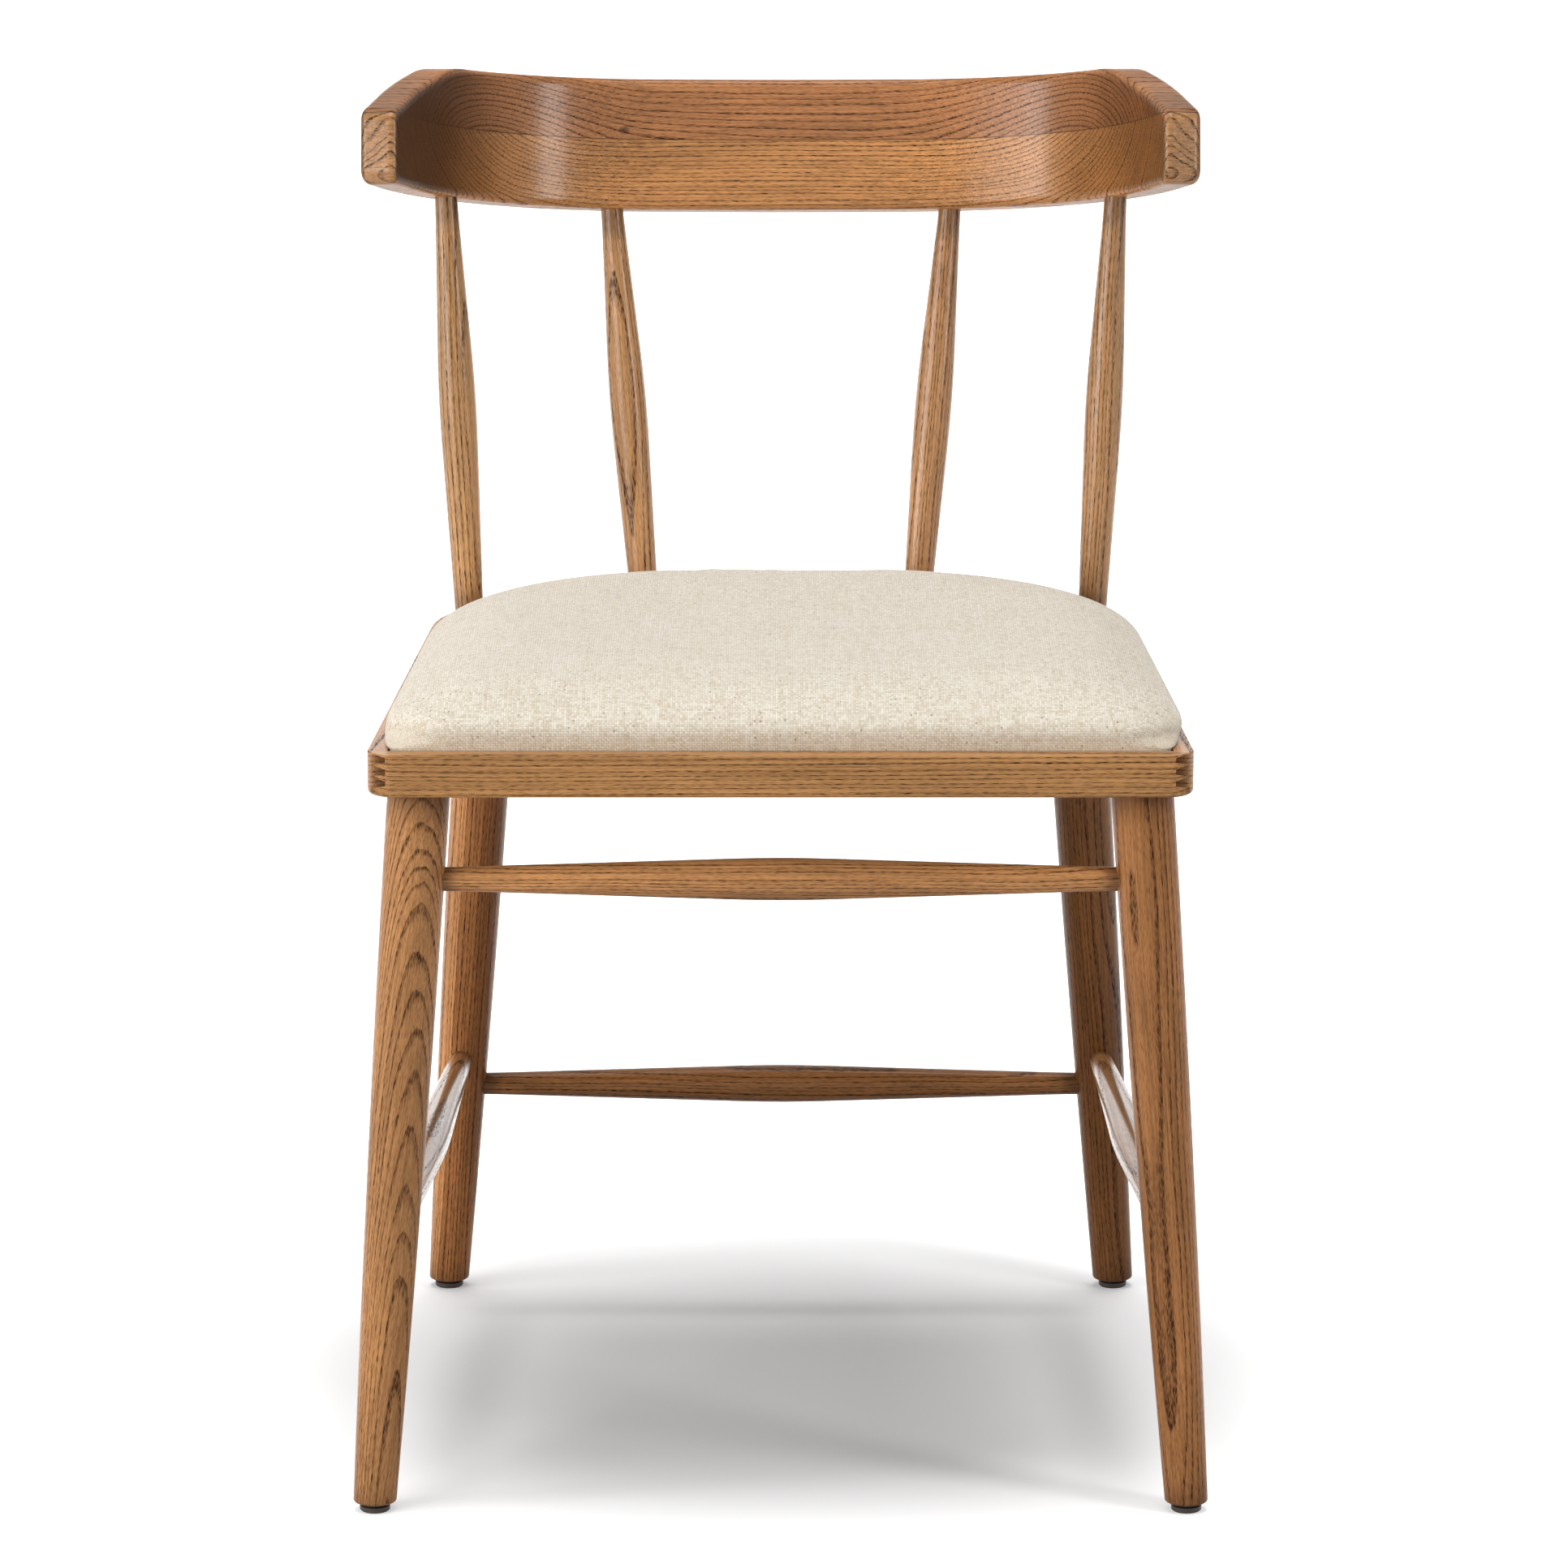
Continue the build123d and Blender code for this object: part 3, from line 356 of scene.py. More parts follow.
for name, (side, foot, head, lean, cut_from) in legs.items():
    ends = [(side * (x + out), y, z) for (x, y, z), out in ((foot, lean), (head, 0))]
    timber = ash("ash_" + name, *ends, film=0.22, **cut_from)
    # Painted shade at both ends of the leg, where it meets the rail and the floor.
    shade_joints(timber, *ends, joint=0, reach=26, most=0.5)
    finish_node(name, timber)


# Stretchers: turned ash rods that swell in the middle, stained like the legs, the side pair under the most
# lacquer. Their straight ends are glued into holes in the legs, and painted shade darkens them where they go
# in.
stretchers = {
    "front_stretcher": ((-0.213, -0.2299, 0.376), (0.213, -0.2299, 0.376), {
        "bark": (0, 0.1, 1), "pith": 0.060, "tone": (1.12, 1.13, 1.10), "lacquer": 1.35, "film": 0.35}),
    "rear_stretcher": ((-0.204, 0.1809, 0.142), (0.204, 0.1809, 0.142), {
        "bark": (0, -0.3, 1), "pith": 0.050, "tone": (0.57, 0.52, 0.46), "lacquer": 1.35, "film": 0.35}),
    "left_stretcher": ((-0.2278, -0.2431, 0.162), (-0.2025, 0.177, 0.162), {
        "bark": (0.5, 0, 1), "pith": 0.045, "tone": (0.70, 0.70, 0.68), "lacquer": 1.5, "film": 1.0}),
    "right_stretcher": ((0.2278, -0.2431, 0.162), (0.2025, 0.177, 0.162), {
        "bark": (-0.4, 0, 1), "pith": 0.036, "tone": (0.66, 0.66, 0.64), "lacquer": 1.5, "film": 0.8}),
}
for name, (start, end, cut_from) in stretchers.items():
    timber = ash("ash_" + name, start, end, ring=2.8, waver=15.0, **cut_from)
    # Painted shade where the stretcher goes into the leg.
    shade_joints(timber, start, end, joint=18, reach=11, most=0.55)
    finish_node(name, timber)


# Glides: moulded from dark nylon, each held under a leg by one steel nail.
# The moulding has a fine grain, and its lower rim is scuffed pale by the floor.
nylon, nylon_speck, scuffed = (0.020, 0.012, 0.008, 1), (0.034, 0.021, 0.014, 1), (0.12, 0.09, 0.07, 1)
scuff_low, scuff_high = 0.0002, 0.0016
glide_nylon, tree = new_finish("glide_nylon")
place = wire(tree, "ShaderNodeTexCoord").outputs["Object"]
speck = noise(tree, stretched(tree, place, 2600, 2600), 3.0)
rim = ramp(tree, axis_of(tree, place, "Z"), scuff_low, scuff_high, 1.0, 0.0)
scuff = calc(tree, "MULTIPLY", rim, ramp(tree, noise(tree, stretched(tree, place, 420, 420)), 0.4, 0.7))
dark = blend_colour(tree, speck, nylon, nylon_speck)
worn = blend_colour(tree, calc(tree, "MULTIPLY", scuff, 0.55), dark, scuffed)
dull = ramp(tree, scuff, 0.0, 1.0, 0.46, 0.70)
put_on(tree, {"Base Color": worn, "Roughness": dull}, speck, strength=0.25)
for end in ("front_left", "front_right", "rear_left", "rear_right"):
    finish_node(end + "_glide", glide_nylon)


# Metal fixings: zinc-plated steel screws, nails and staples, turned or driven in from below.
# The plating is bright, with a faint warm bloom and darker smears.
bright_zinc, warm_zinc = (0.62, 0.62, 0.63, 1), (0.55, 0.51, 0.42, 1)
zinc_plate, tree = new_finish("zinc_plate")
place = wire(tree, "ShaderNodeTexCoord").outputs["Object"]
bloom = noise(tree, stretched(tree, place, 340, 340), 3.0)
plate = blend_colour(tree, ramp(tree, bloom, 0.3, 0.7), bright_zinc, warm_zinc)
put_on(tree, {"Base Color": plate, "Metallic": 1.0, "Roughness": ramp(tree, bloom, 0.3, 0.7, 0.28, 0.46)})
for name in ("glide_nails", "cover_staples", "seat_screws", "corner_block_screws", "cleat_screws"):
    finish_node(name, zinc_plate)


# Seat frame: stained ash rails on edge, finger-jointed at the front corners, with a wide sawn back rail
# that takes the side rails' tongues and the spindles. The end grain of the fingers has drunk the most stain.
rails = {
    "front_rail": ((-0.24, -0.253, 0.443), (0.24, -0.253, 0.443), {
        "bark": (0.15, -0.2, 1), "pith": 0.120, "ring": 2.85, "waver": 4.5, "tone": (0.97, 1.03, 0.97)}),
    "left_rail": ((-0.2393, -0.259, 0.443), (-0.222, 0.016, 0.443), {
        "bark": (-0.3, 0, 1), "pith": 0.110, "ring": 2.85, "waver": 5.0, "tone": (0.90, 0.94, 0.93)}),
    "right_rail": ((0.2393, -0.259, 0.443), (0.222, 0.016, 0.443), {
        "bark": (0.3, 0, 1), "pith": 0.130, "ring": 2.85, "waver": 5.0, "tone": (0.90, 0.94, 0.93)}),
    "back_rail": ((-0.22, 0.17, 0.443), (0.22, 0.17, 0.443), {
        "bark": (0, 0.4, 1), "pith": 0.070, "ring": 3.2, "waver": 14.0, "tone": (0.92, 0.92, 0.92)}),
}
finger_tint = (0.26, 0.21, 0.16)
for name, (start, end, cut_from) in rails.items():
    timber = ash("ash_" + name, start, end, lacquer=1.33, film=0.3, end_tint=finger_tint, **cut_from)
    finish_node(name, timber)


# Hidden timber: unfinished pale corner blocks, the rear cleat and the plywood seat deck.
# The blocks and the cleat are glued and screwed into the frame, and carry the seat.
def pale_wood(name, start, end, bark, pith, ring):
    """Unfinished pale timber, with the same growth rings but no stain or lacquer."""
    made = ash(name, start, end, bark, pith, ring, waver=10.0)
    timber = node_of(made, "GROUP").inputs
    timber["Late Wood"].default_value = (0.66, 0.50, 0.32, 1)
    timber["Early Wood"].default_value = (0.54, 0.37, 0.21, 1)
    timber["Pore"].default_value = (0.36, 0.23, 0.13, 1)
    shader = node_of(made, "BSDF_PRINCIPLED").inputs
    for socket, value in (("Roughness", 0.72), ("Coat Weight", 0.0)):
        made.node_tree.links.remove(shader[socket].links[0])
        shader[socket].default_value = value
    return made


hidden_timber = {
    "left_corner_block": ("raw_left_block", (-0.22, -0.16, 0.438), (-0.14, -0.24, 0.438), {
        "bark": (0, 0, 1), "pith": 0.08, "ring": 3.0}),
    "right_corner_block": ("raw_right_block", (0.22, -0.16, 0.438), (0.14, -0.24, 0.438), {
        "bark": (0, 0.2, 1), "pith": 0.09, "ring": 3.0}),
    "rear_cleat": ("raw_cleat", (-0.1, 0.15, 0.438), (0.1, 0.15, 0.438), {
        "bark": (0, 0.3, 1), "pith": 0.06, "ring": 3.0}),
    "seat_deck": ("raw_deck", (-0.2, 0.0, 0.452), (0.2, 0.0, 0.452), {
        "bark": (0, 0.05, 1), "pith": 0.30, "ring": 7.0}),
}
for name, (finish, start, end, cut_from) in hidden_timber.items():
    finish_node(name, pale_wood(finish, start, end, **cut_from))


# Spindles: turned ash, thin at the ends and full in the middle, stained like the legs and glossier.
# They stand in holes in the back rail and end in holes in the crest rail's lower layer.
spindles = {
    "inner_left_spindle": ((-0.0859, 0.18595, 0.456), (-0.106, 0.2275, 0.6973), {
        "bark": (-0.2, -1, 0), "pith": 0.026, "tone": (1.10, 1.20, 1.25)}),
    "inner_right_spindle": ((0.0859, 0.18595, 0.456), (0.106, 0.2275, 0.6973), {
        "bark": (1, 0.3, 0), "pith": 0.070, "tone": (1.04, 1.12, 1.20)}),
    "outer_left_spindle": ((-0.1942, 0.13895, 0.456), (-0.2074, 0.1621, 0.7149), {
        "bark": (1, -0.5, 0), "pith": 0.045, "tone": (1.05, 1.18, 1.22)}),
    "outer_right_spindle": ((0.1942, 0.13895, 0.456), (0.2074, 0.1621, 0.7149), {
        "bark": (-1, 0.3, 0), "pith": 0.080, "tone": (0.95, 1.05, 1.12)}),
}
for name, (start, end, cut_from) in spindles.items():
    timber = ash("ash_" + name, start, end, ring=2.7, waver=11.0, lacquer=1.42, film=0.65, **cut_from)
    # Painted shade darkens each spindle towards its joints with the back rail and the crest.
    shade_joints(timber, start, end, joint=10, reach=12, most=0.4)
    finish_node(name, timber)


# Crest rail: two ash boards glued one on the other, then sawn and carved to a bow whose ends are the arms.
# The fibre runs straight across, so the carved bends cut through ring after ring. The left arm's inner face
# is darkened with painted shade, the tips are greyer, and the level faces have lost their gloss to hands.
def rub(material, left):
    """Thins a timber's lacquer to the share that is left, where hands have rubbed it."""
    tree = material.node_tree
    coat = node_of(material, "BSDF_PRINCIPLED").inputs["Coat Weight"]
    tree.links.new(calc(tree, "MULTIPLY", coat.links[0].from_socket, left), coat)


crest_middle = Vector((0, 0.23295, 0.7409))
crest_lean = math.radians(15)
across = Vector((1, 0, 0))
forward = Vector((0, -math.cos(crest_lean), math.sin(crest_lean)))
upward = Vector((0, math.sin(crest_lean), math.cos(crest_lean)))
lower_pith = crest_middle + upward * 0.036 + forward * 0.004
upper_pith = crest_middle - upward * 0.026 + forward * 0.044
crest_finish = {"bark": forward, "pith": 0.0, "waver": 9.0, "lacquer": 1.40, "film": 0.70}
lower_cut = {"ring": 2.7, "tone": (1.18, 1.15, 1.04), **crest_finish}
upper_cut = {"ring": 3.2, "tone": (0.93, 0.84, 0.82), **crest_finish}
lower_ash = ash("ash_crest_lower", lower_pith, lower_pith + across, **lower_cut)
upper_ash = ash("ash_crest_upper", upper_pith, upper_pith + across, **upper_cut)
seam_width, seam_dark = 0.0005, 0.75
arm_root, arm_inside, arm_shade = -0.16, -0.215, 0.8
tip_starts, tip_ends, tip_tint = 0.205, 0.250, (0.74, 0.82, 0.97, 1)
gloss_left = 0.15
for board in (lower_ash, upper_ash):
    tree = board.node_tree
    coords = wire(tree, "ShaderNodeTexCoord").outputs
    level = vector_calc(tree, "DOT_PRODUCT", coords["Object"], upward, "Value")
    off_seam = calc(tree, "ABSOLUTE", calc(tree, "SUBTRACT", level, crest_middle.dot(upward)))
    tint(board, ramp(tree, off_seam, 0.3 * seam_width, seam_width, seam_dark, 0.0))
    sideways = axis_of(tree, coords["Object"], "X")
    # Painted shade: the left arm's inner face, turned away from the front light, is darkened.
    left_arm_shade = ramp(tree, sideways, arm_inside, arm_root, arm_shade, 0.0)
    inner_face = ramp(tree, axis_of(tree, coords["Normal"], "X"), 0.3, 0.9)
    tint(board, calc(tree, "MULTIPLY", left_arm_shade, inner_face))
    tint(board, ramp(tree, calc(tree, "ABSOLUTE", sideways), tip_starts, tip_ends), tip_tint, "MULTIPLY")
    level_face = calc(tree, "ABSOLUTE", axis_of(tree, coords["Normal"], "Z"))
    rub(board, ramp(tree, level_face, 0.55, 0.90, 1.0, gloss_left))
knot_middle, knot_half, knot_dark = (-0.098, 0.2265, 0.7475), (0.0030, 0.02, 0.0026), 0.75
tree = upper_ash.node_tree
place = wire(tree, "ShaderNodeTexCoord").outputs["Object"]
knot = {"Vector": place, "Location": knot_middle, "Scale": knot_half}
knot = wire(tree, "ShaderNodeMapping", knot, vector_type="TEXTURE").outputs[0]
from_knot = vector_calc(tree, "LENGTH", knot, result="Value")
tint(upper_ash, ramp(tree, from_knot, 0.3, 1.5, knot_dark, 0.0))
finish_node("crest_lower", lower_ash)
finish_node("crest_upper", upper_ash)


# Drop-in seat: foam on a plywood deck under one piece of undyed linen, which is drawn down over the sides,
# turned under the deck and stapled. The pad bulges over the rails and is rounded at its corners.
front_y, rear_y, seat_depth = -0.25905, 0.20195, 0.461
front_half, rear_half = 0.2393, 0.2105
taper = (front_half - rear_half) / seat_depth
rail, rear_rail, gap = 0.012, 0.036, 0.0006
hem_z, foot_z, edge_z, deck_z = 0.445, 0.4568, 0.4650, 0.4583
hem_width, linen_thick = 0.024, 0.0008
front_corner, rear_corner = 0.0015, 0.150
crown_rise, crown_side, crown_end = 0.0262, 0.108, 0.1335
over_side, over_end = 0.0068, -0.0003
cells = 46


def rounded_plan(share, side, inset_side, inset_end, front_radius, rear_radius):
    """Points of the seat's plan, a trapezoid with rounded corners. Sides 0 to 3 count from the front. Share
    runs along a side, from the middle of one corner's arc to the middle of the next. A point on the straight
    keeps its place. Past its ends it turns off along the corner's arc, as far as the length left over."""
    low, high = front_y + rail + inset_end, rear_y - rear_rail - inset_end
    near = front_half - taper * (low - front_y) - inset_side
    far = front_half - taper * (high - front_y) - inset_side
    corners = np.stack([np.stack([-near, low], -1), np.stack([near, low], -1),
                        np.stack([far, high], -1), np.stack([-far, high], -1)], 0)
    radii = np.stack([front_radius, front_radius, rear_radius, rear_radius], 0)
    pick = side.astype(int)
    rows = np.arange(len(share))
    first, last = corners[pick, rows], corners[(pick + 1) % 4, rows]
    r0, r1 = radii[pick, rows], radii[(pick + 1) % 4, rows]
    along = last - first
    length = np.linalg.norm(along, axis=-1)
    along = along / length[:, None]
    inward = np.stack([-along[:, 1], along[:, 0]], -1)
    lean = math.atan(taper)
    turn0 = np.where((pick == 0) | (pick == 1), math.pi / 2 + lean, math.pi / 2 - lean)
    turn1 = np.where((pick == 0) | (pick == 3), math.pi / 2 + lean, math.pi / 2 - lean)
    t0, t1 = r0 * np.tan(turn0 / 2), r1 * np.tan(turn1 / 2)
    straight = np.maximum(length - t0 - t1, 1e-5)
    arc0, arc1 = r0 * turn0 / 2, r1 * turn1 / 2
    run = share * (arc0 + straight + arc1)
    bend0 = np.maximum(arc0 - run, 0) / r0
    bend1 = np.maximum(run - arc0 - straight, 0) / r1
    ahead = t0 + np.clip(run - arc0, 0, straight) - r0 * np.sin(bend0) + r1 * np.sin(bend1)
    aside = r0 * (1 - np.cos(bend0)) + r1 * (1 - np.cos(bend1))
    return first + along * ahead[:, None] + inward * aside[:, None]


def seat_skin(levels):
    """The pad's skin over a square grid. A grid point's ring is its larger distance from the middle, and its
    place along the ring's four sides is its share of the plan's outline. Each ring takes its height, insets
    and corner radii from the levels, which run from the middle out. Rings near the middle shrink to it."""
    steps = np.arange(-cells, cells + 1)
    i, j = (a.ravel() for a in np.meshgrid(steps, steps, indexing="xy"))
    ring = np.maximum(np.abs(i), np.abs(j))
    side = np.select([j == -ring, i == ring, j == ring], [0, 1, 2], 3)
    wide = np.maximum(2 * ring, 1)
    on_side = [(i + ring) / wide, (j + ring) / wide, (ring - i) / wide]
    share = np.select([side == 0, side == 1, side == 2], on_side, (ring - j) / wide)
    height, inset_side, inset_end, front_radius, rear_radius, shrink = (level[ring] for level in levels)
    plan = rounded_plan(share, side, inset_side, inset_end, front_radius, rear_radius)
    middle = np.array([0.0, (front_y + rail + rear_y - rear_rail) / 2])
    plan = middle + (plan - middle) * shrink[:, None]
    return np.column_stack([plan, height])


def crown_levels():
    """Rings of the upper skin from the middle out: a flat middle, a crown, whose height is the root of one
    less the 3.5th power of the way out, a quarter-round swell over the rails, the side and the hem."""
    middle, crown, swell, drop = 15, 17, 7, 3
    hem = cells - middle - crown - swell - drop
    fall = np.linspace(1, 0, crown + 1) ** 2
    share = np.concatenate([np.ones(middle), fall, np.zeros(cells - middle - crown)])
    shrink = np.concatenate([np.arange(middle) / middle, np.ones(cells + 1 - middle)])
    swell_turn = np.linspace(math.pi / 2, 0, swell + 1)
    turn = np.concatenate([np.full(middle + crown, math.pi / 2), swell_turn, np.zeros(drop + hem)])
    over = np.sin(turn)
    crown_height = edge_z + crown_rise * np.sqrt(1 - (1 - share) ** 3.5)
    swell_height = foot_z + (edge_z - foot_z) * (1 - np.cos(turn))
    below = np.concatenate([np.zeros(cells + 1 - drop - hem), np.linspace(0, 1, drop + 1)[1:], np.ones(hem)])
    height = np.where(share > 0, crown_height, swell_height) - below * (foot_z - hem_z)
    under = np.concatenate([np.zeros(cells + 1 - hem), np.linspace(0, 1, hem + 1)[1:]]) * hem_width
    inset_side = rail + gap + crown_side * share + under - over * (over_side + gap)
    inset_end = gap + crown_end * share + under - over * (over_end + gap)
    front_radius = front_corner + over**2 * 0.0335 + 0.026 * share
    rear_radius = rear_corner + over * 0.017 - 0.127 * share - under
    return height, inset_side, inset_end, front_radius, rear_radius, shrink


def lining_levels():
    """Rings of the inner skin from the middle out: across the deck's top, down its edge, and under it to the
    hem's edge, with the linen's thickness and some slack between the two skins."""
    hem, edge = 4, 3
    slack, short_hem = 0.0014, 0.0020
    top = cells - hem - edge
    shrink = np.concatenate([np.arange(top) / top, np.ones(cells + 1 - top)])
    fall = np.concatenate([np.zeros(top), np.linspace(0, 1, edge + 1), np.ones(hem)])
    height = deck_z - fall * (deck_z - hem_z - linen_thick)
    under = np.concatenate([np.zeros(top + edge), np.linspace(0, 1, hem + 1)]) * (hem_width - short_hem)
    inset_side = rail + gap + slack + under
    inset_end = gap + slack + under
    return height, inset_side, inset_end, np.full(cells + 1, front_corner), rear_corner - under, shrink


# The linen was drawn a little harder to one side, so the pad's top lies off the middle.
pull = 0.0022
across_grid = 2 * cells + 1
outer = seat_skin(crown_levels())
outer[:, 0] += pull * np.clip((outer[:, 2] - foot_z) / (edge_z - foot_z), 0, 1)
inner = seat_skin(lining_levels())
grid = np.arange(across_grid**2).reshape(across_grid, across_grid)
quads = np.stack([grid[:-1, :-1], grid[:-1, 1:], grid[1:, 1:], grid[1:, :-1]], -1).reshape(-1, 4)
rim = np.concatenate([grid[0, :-1], grid[:-1, -1], grid[-1, :0:-1], grid[:0:-1, 0]])
next_rim = np.roll(rim, -1)
shift = across_grid**2
strip = np.stack([next_rim, rim, rim + shift, next_rim + shift], -1)
skin_points = np.concatenate([outer, inner])
skin_faces = np.concatenate([quads, quads[:, ::-1] + shift, strip])
cushion_mesh = bpy.data.meshes.new("seat_cushion")
cushion_mesh.from_pydata(skin_points.tolist(), [], skin_faces.tolist())
cushion_mesh.update()
cushion = bpy.data.objects.new("seat_cushion", cushion_mesh)
scene.collection.objects.link(cushion)


def outward_of(mesh):
    """The outward direction at each of a mesh's points."""
    outward = np.zeros(len(mesh.vertices) * 3, np.float32)
    mesh.vertex_normals.foreach_get("vector", outward)
    return outward.reshape(-1, 3)


# The foam's push is found by blowing the linen up as cloth, held at the rails. Only what points outward
# is kept, up to the most, and eased in above the rails.
held_below, most, ease, last_step = 0.0012, 0.0015, 0.02, 20
held = cushion.vertex_groups.new(name="held")
firm = (skin_points[:, 2] < foot_z + held_below) | (np.arange(len(skin_points)) >= shift)
held.add(np.flatnonzero(firm).tolist(), 1.0, "REPLACE")
cloth = cushion.modifiers.new("linen", "CLOTH")
cloth.settings.vertex_group_mass = "held"
cloth.settings.use_pressure = True
cloth.settings.uniform_pressure_force = 4.0
cloth.settings.effector_weights.gravity = 0.0
cloth.settings.quality = 6
cloth.collision_settings.use_collision = False
for step in range(1, last_step + 1):
    scene.frame_set(step)
swollen = np.zeros(len(skin_points) * 3, np.float32)
blown = cushion.evaluated_get(bpy.context.evaluated_depsgraph_get())
blown.data.vertices.foreach_get("co", swollen)
cushion.modifiers.remove(cloth)
scene.frame_set(1)
outward = outward_of(cushion_mesh)
puff = np.clip(np.sum((swollen.reshape(-1, 3) - skin_points) * outward, axis=1), 0, most)
puff *= np.clip((skin_points[:, 2] - foot_z) / ease, 0, 1)
skin_points = skin_points + outward * puff[:, None]
cushion_mesh.vertices.foreach_set("co", skin_points.astype(np.float32).ravel())
cushion_mesh.update()

# Threads lie square to the chair. Past the crown they run down the sides, so the map adds to each plan place
# the length that the skin has gained on its plan, measured down the middle of the front and of one side.
outward = outward_of(cushion_mesh)[:shift, :2]
outward = outward / np.maximum(np.linalg.norm(outward, axis=1), 1e-6)[:, None]
skin = skin_points[:shift].reshape(across_grid, across_grid, 3)
steps = np.abs(np.arange(-cells, cells + 1))
ring = np.maximum(steps[:, None], steps[None, :]).ravel()
gained = []
for line in (skin[cells, cells:], skin[cells::-1, cells]):
    run = np.concatenate([[0], np.cumsum(np.linalg.norm(np.diff(line, axis=0), axis=1))])
    gained.append((run - np.linalg.norm((line - line[0])[:, :2], axis=1))[ring])
extra = gained[0] * outward[:, 0] ** 2 + gained[1] * outward[:, 1] ** 2
thread = skin_points[:shift, :2] + outward * extra[:, None]
thread = np.concatenate([thread, thread])
corner = np.zeros(len(cushion_mesh.loops), np.int32)
cushion_mesh.loops.foreach_get("vertex_index", corner)
thread_map = cushion_mesh.uv_layers.new(name="threads")
thread_map.data.foreach_set("uv", thread[corner].astype(np.float32).ravel())
cushion_mesh.polygons.foreach_set("use_smooth", np.ones(len(cushion_mesh.polygons), bool))
smooth = cushion.modifiers.new("smooth", "SUBSURF")
smooth.levels = smooth.render_levels = 1

# Plain weave: warp and weft cross over and under each other, one thread to each unit of Place. A thread
# has its own tone, which drifts along it, and gaps show at the corners of the crossings.
weave_outputs = {"Height": "value", "Thread": "value", "Cell": "value", "Gap": "value"}
weave, given, found = new_group("plain_weave", {"Place": "place"}, weave_outputs)
axes = wire(weave, "ShaderNodeSeparateXYZ", {0: given["Place"]}).outputs
warp = calc(weave, "ABSOLUTE", calc(weave, "SINE", calc(weave, "MULTIPLY", axes["X"], math.pi)))
weft = calc(weave, "ABSOLUTE", calc(weave, "SINE", calc(weave, "MULTIPLY", axes["Y"], math.pi)))
crossing_number = calc(weave, "ADD", calc(weave, "FLOOR", axes["X"]), calc(weave, "FLOOR", axes["Y"]))
parity = calc(weave, "PINGPONG", crossing_number, 1.0)
over = calc(weave, "MULTIPLY", warp, calc(weave, "MULTIPLY_ADD", parity, 0.45, 0.55))
under = calc(weave, "MULTIPLY", weft, calc(weave, "MULTIPLY_ADD", parity, -0.45, 1.0))
tones = []
for crossing, running in (("X", "Y"), ("Y", "X")):
    number = calc(weave, "MULTIPLY", calc(weave, "FLOOR", axes[crossing]), 7.31)
    short = {0: number, 1: calc(weave, "MULTIPLY", axes[running], 0.24)}
    short = noise(weave, wire(weave, "ShaderNodeCombineXYZ", short).outputs[0])
    long = {1: number, 0: calc(weave, "MULTIPLY", axes[running], 0.035)}
    long = noise(weave, wire(weave, "ShaderNodeCombineXYZ", long).outputs[0])
    tones.append(calc(weave, "MULTIPLY_ADD", short, 0.6, calc(weave, "MULTIPLY", long, 0.4)))
warp_tone, weft_tone = tones
tone = wire(weave, "ShaderNodeMix", {0: parity, 2: weft_tone, 3: warp_tone}).outputs[0]
cell = wire(weave, "ShaderNodeTexWhiteNoise", {"Vector": vector_calc(weave, "FLOOR", given["Place"])})
between = [ramp(weave, threads, 0.10, 0.60, 1.0, 0.0) for threads in (warp, weft)]
woven = {"Height": calc(weave, "MAXIMUM", over, under), "Thread": tone, "Cell": cell.outputs["Value"],
         "Gap": calc(weave, "MULTIPLY", *between)}
for socket, value in woven.items():
    weave.links.new(value, found[socket])

# Linen: undyed flax yarn, paler and darker from thread to thread, with tan slubs and bits of brown husk.
# Along the foot, where it meets the rails, it is warmed with painted bounce light from the wood.
pitch = 0.00145
dark_flax, pale_flax, tan_flax = (0.585, 0.50, 0.38, 1), (0.80, 0.750, 0.655, 1), (0.50, 0.35, 0.19, 1)
husk_brown, gap_brown, bounce_tan = (0.16, 0.095, 0.05, 1), (0.16, 0.11, 0.06, 1), (0.62, 0.45, 0.26, 1)
bounce_most, bounce_height = 0.30, 0.020
linen, tree = new_finish("undyed_linen")
coords = wire(tree, "ShaderNodeTexCoord").outputs
threads = {"Vector": coords["UV"], "Scale": (pitch, pitch, pitch)}
place = wire(tree, "ShaderNodeMapping", threads, vector_type="TEXTURE").outputs[0]
cloth_weave = wire(tree, "ShaderNodeGroup", {"Place": place}, node_tree=weave).outputs
husk = {"Vector": stretched(tree, place, 0.50, 0.50), "Scale": 1.0}
husk = wire(tree, "ShaderNodeTexVoronoi", husk).outputs
husk_kind = wire(tree, "ShaderNodeSeparateColor", {0: husk["Color"]}).outputs[0]
fleck = ramp(tree, husk["Distance"], 0.12, 0.30, 1.0, 0.0)
fleck = calc(tree, "MULTIPLY", fleck, ramp(tree, husk_kind, 0.72, 1.0))
slub = ramp(tree, noise(tree, stretched(tree, place, 0.25, 0.25), 3.0), 0.50, 0.75)
tan = calc(tree, "MULTIPLY", slub, ramp(tree, cloth_weave["Cell"], 0.30, 0.80))
spun = calc(tree, "MULTIPLY", cloth_weave["Cell"], 0.15)
spun = calc(tree, "MULTIPLY_ADD", cloth_weave["Thread"], 0.85, spun)
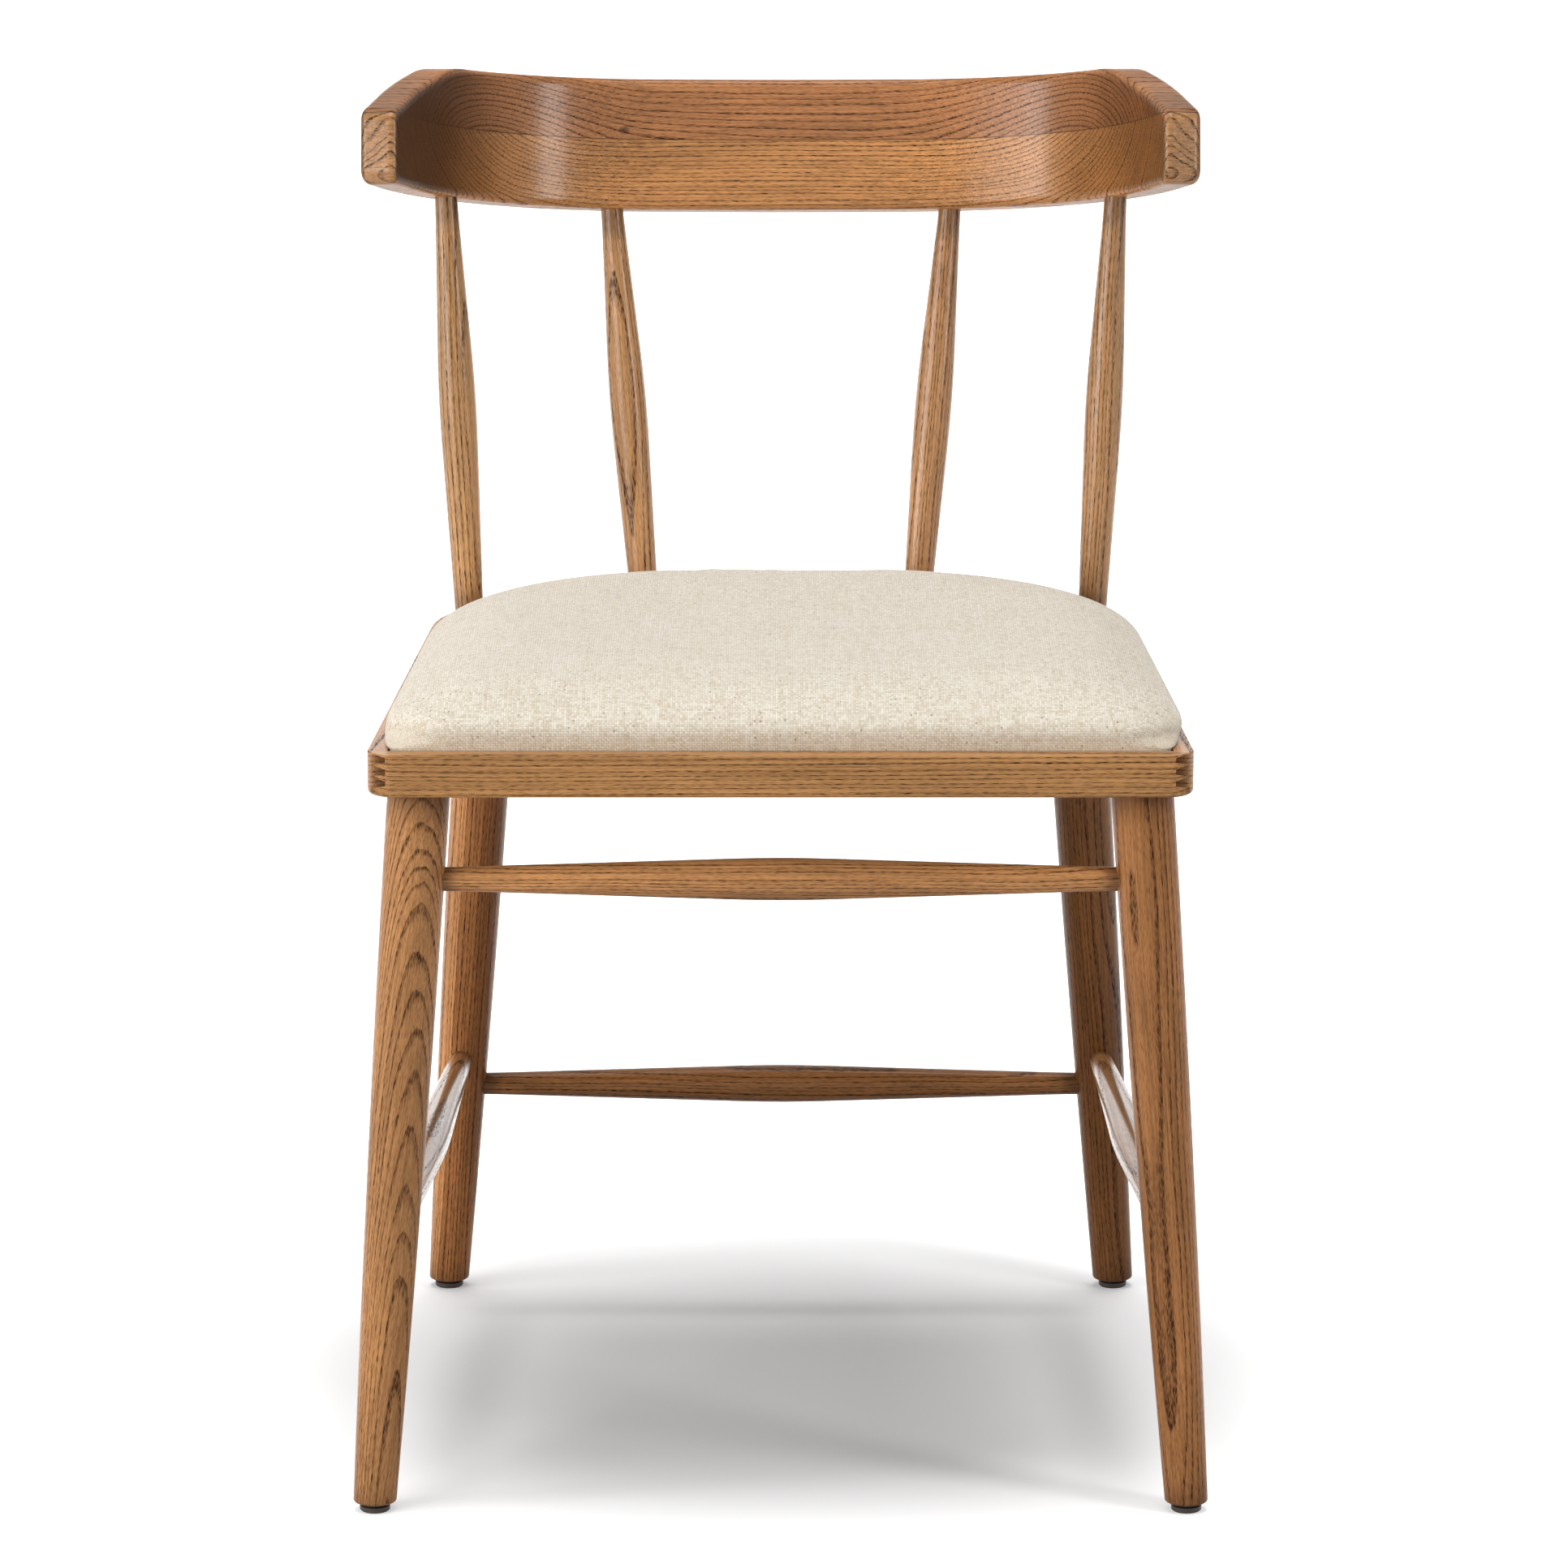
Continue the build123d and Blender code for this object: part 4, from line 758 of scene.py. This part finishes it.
# Painted bounce light: the linen's foot is tinted tan towards the stained rails below it.
rail_bounce = ramp(tree, axis_of(tree, coords["Object"], "Z"), foot_z, foot_z + bounce_height, bounce_most, 0.0)
rail_bounce = calc(tree, "MULTIPLY", rail_bounce, ramp(tree, cloth_weave["Cell"], 0.0, 1.0, 0.5, 1.0))
yarn = blend_colour(tree, ramp(tree, spun, 0.32, 0.64), dark_flax, pale_flax)
yarn = blend_colour(tree, calc(tree, "MULTIPLY", tan, 0.50), yarn, tan_flax)
yarn = blend_colour(tree, calc(tree, "MULTIPLY", fleck, 0.85), yarn, husk_brown)
yarn = blend_colour(tree, calc(tree, "MULTIPLY", cloth_weave["Gap"], 0.95), yarn, gap_brown)
yarn = blend_colour(tree, rail_bounce, yarn, bounce_tan)
dull = ramp(tree, cloth_weave["Thread"], 0.2, 0.8, 0.95, 0.82)
sockets = {"Base Color": yarn, "Roughness": dull, "Specular IOR Level": 0.2, "Sheen Weight": 0.25,
           "Sheen Roughness": 0.5}
put_on(tree, sockets, cloth_weave["Height"], strength=0.7, depth=0.0004)
cushion_mesh.materials.append(linen)
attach(cushion, "root")
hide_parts("seat_cover", "seat_foam")


# Dust cloth: black spun-bonded sheet, cut round the corner blocks and the cleat and stapled under the seat.
# It is drawn flat at its edges and hangs a little slack in the middle.
sheet_step, sheet_slack, ripple = 0.02, 0.0016, 0.0003
cut = bmesh.new()
cut.from_mesh(nodes["dust_cover"].data)
bmesh.ops.remove_doubles(cut, verts=cut.verts, dist=1e-6)
corners = np.array(nodes["dust_cover"].bound_box)
sheet_low, sheet_high = corners.min(axis=0), corners.max(axis=0)
for axis in (0, 1):
    square_to = np.eye(3)[axis]
    for place in np.arange(sheet_low[axis] + sheet_step, sheet_high[axis], sheet_step):
        whole = cut.verts[:] + cut.edges[:] + cut.faces[:]
        bmesh.ops.bisect_plane(cut, geom=whole, dist=1e-6, plane_co=square_to * place, plane_no=square_to)
dust_mesh = bpy.data.meshes.new("dust_cloth")
cut.to_mesh(dust_mesh)
cut.free()

# The sag is a product of two parabolas over the plan, nothing at the edges, with shallow crossed ripples.
points = np.zeros(len(dust_mesh.vertices) * 3, np.float32)
dust_mesh.vertices.foreach_get("co", points)
points = points.reshape(-1, 3)
share = (2 * points - sheet_low - sheet_high)[:, :2] / (sheet_high - sheet_low)[:2]
hang = np.prod(1 - share**2, axis=1)
ripples = np.sin(17 * share[:, 0] + 5 * share[:, 1]) * np.sin(13 * share[:, 1])
points[:, 2] -= hang * (sheet_slack + ripple * ripples)
dust_mesh.vertices.foreach_set("co", points.ravel())
dust_mesh.polygons.foreach_set("use_smooth", np.ones(len(dust_mesh.polygons), bool))
dust_mesh.set_sharp_from_angle(angle=math.radians(40))
dust_cloth = bpy.data.objects.new("dust_cloth", dust_mesh)
scene.collection.objects.link(dust_cloth)

dark_felt, pale_felt = (0.014, 0.014, 0.015, 1), (0.050, 0.049, 0.050, 1)
bond_black = (0.010, 0.010, 0.011, 1)
spun_bond, tree = new_finish("spun_bond")
place = wire(tree, "ShaderNodeTexCoord").outputs["Object"]
dots = {"Vector": stretched(tree, place, 700, 700), "Scale": 1.0, "Randomness": 0.25}
dots = wire(tree, "ShaderNodeTexVoronoi", dots).outputs["Distance"]
bond = ramp(tree, dots, 0.18, 0.34, 1.0, 0.0)
fibre = noise(tree, stretched(tree, place, 900, 900), 4.0)
drift = noise(tree, stretched(tree, place, 60, 60), 3.0)
mottle = calc(tree, "MULTIPLY_ADD", fibre, 0.6, calc(tree, "MULTIPLY", drift, 0.4))
felt = blend_colour(tree, ramp(tree, mottle, 0.3, 0.7), dark_felt, pale_felt)
felt = blend_colour(tree, calc(tree, "MULTIPLY", bond, 0.6), felt, bond_black)
relief = calc(tree, "MULTIPLY_ADD", bond, -0.7, calc(tree, "MULTIPLY", fibre, 0.5))
dull = ramp(tree, bond, 0.0, 1.0, 0.85, 0.55)
put_on(tree, {"Base Color": felt, "Roughness": dull, "Sheen Weight": 0.1}, relief)
dust_mesh.materials.clear()
dust_mesh.materials.append(spun_bond)
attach(dust_cloth, "root")
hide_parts("dust_cover")
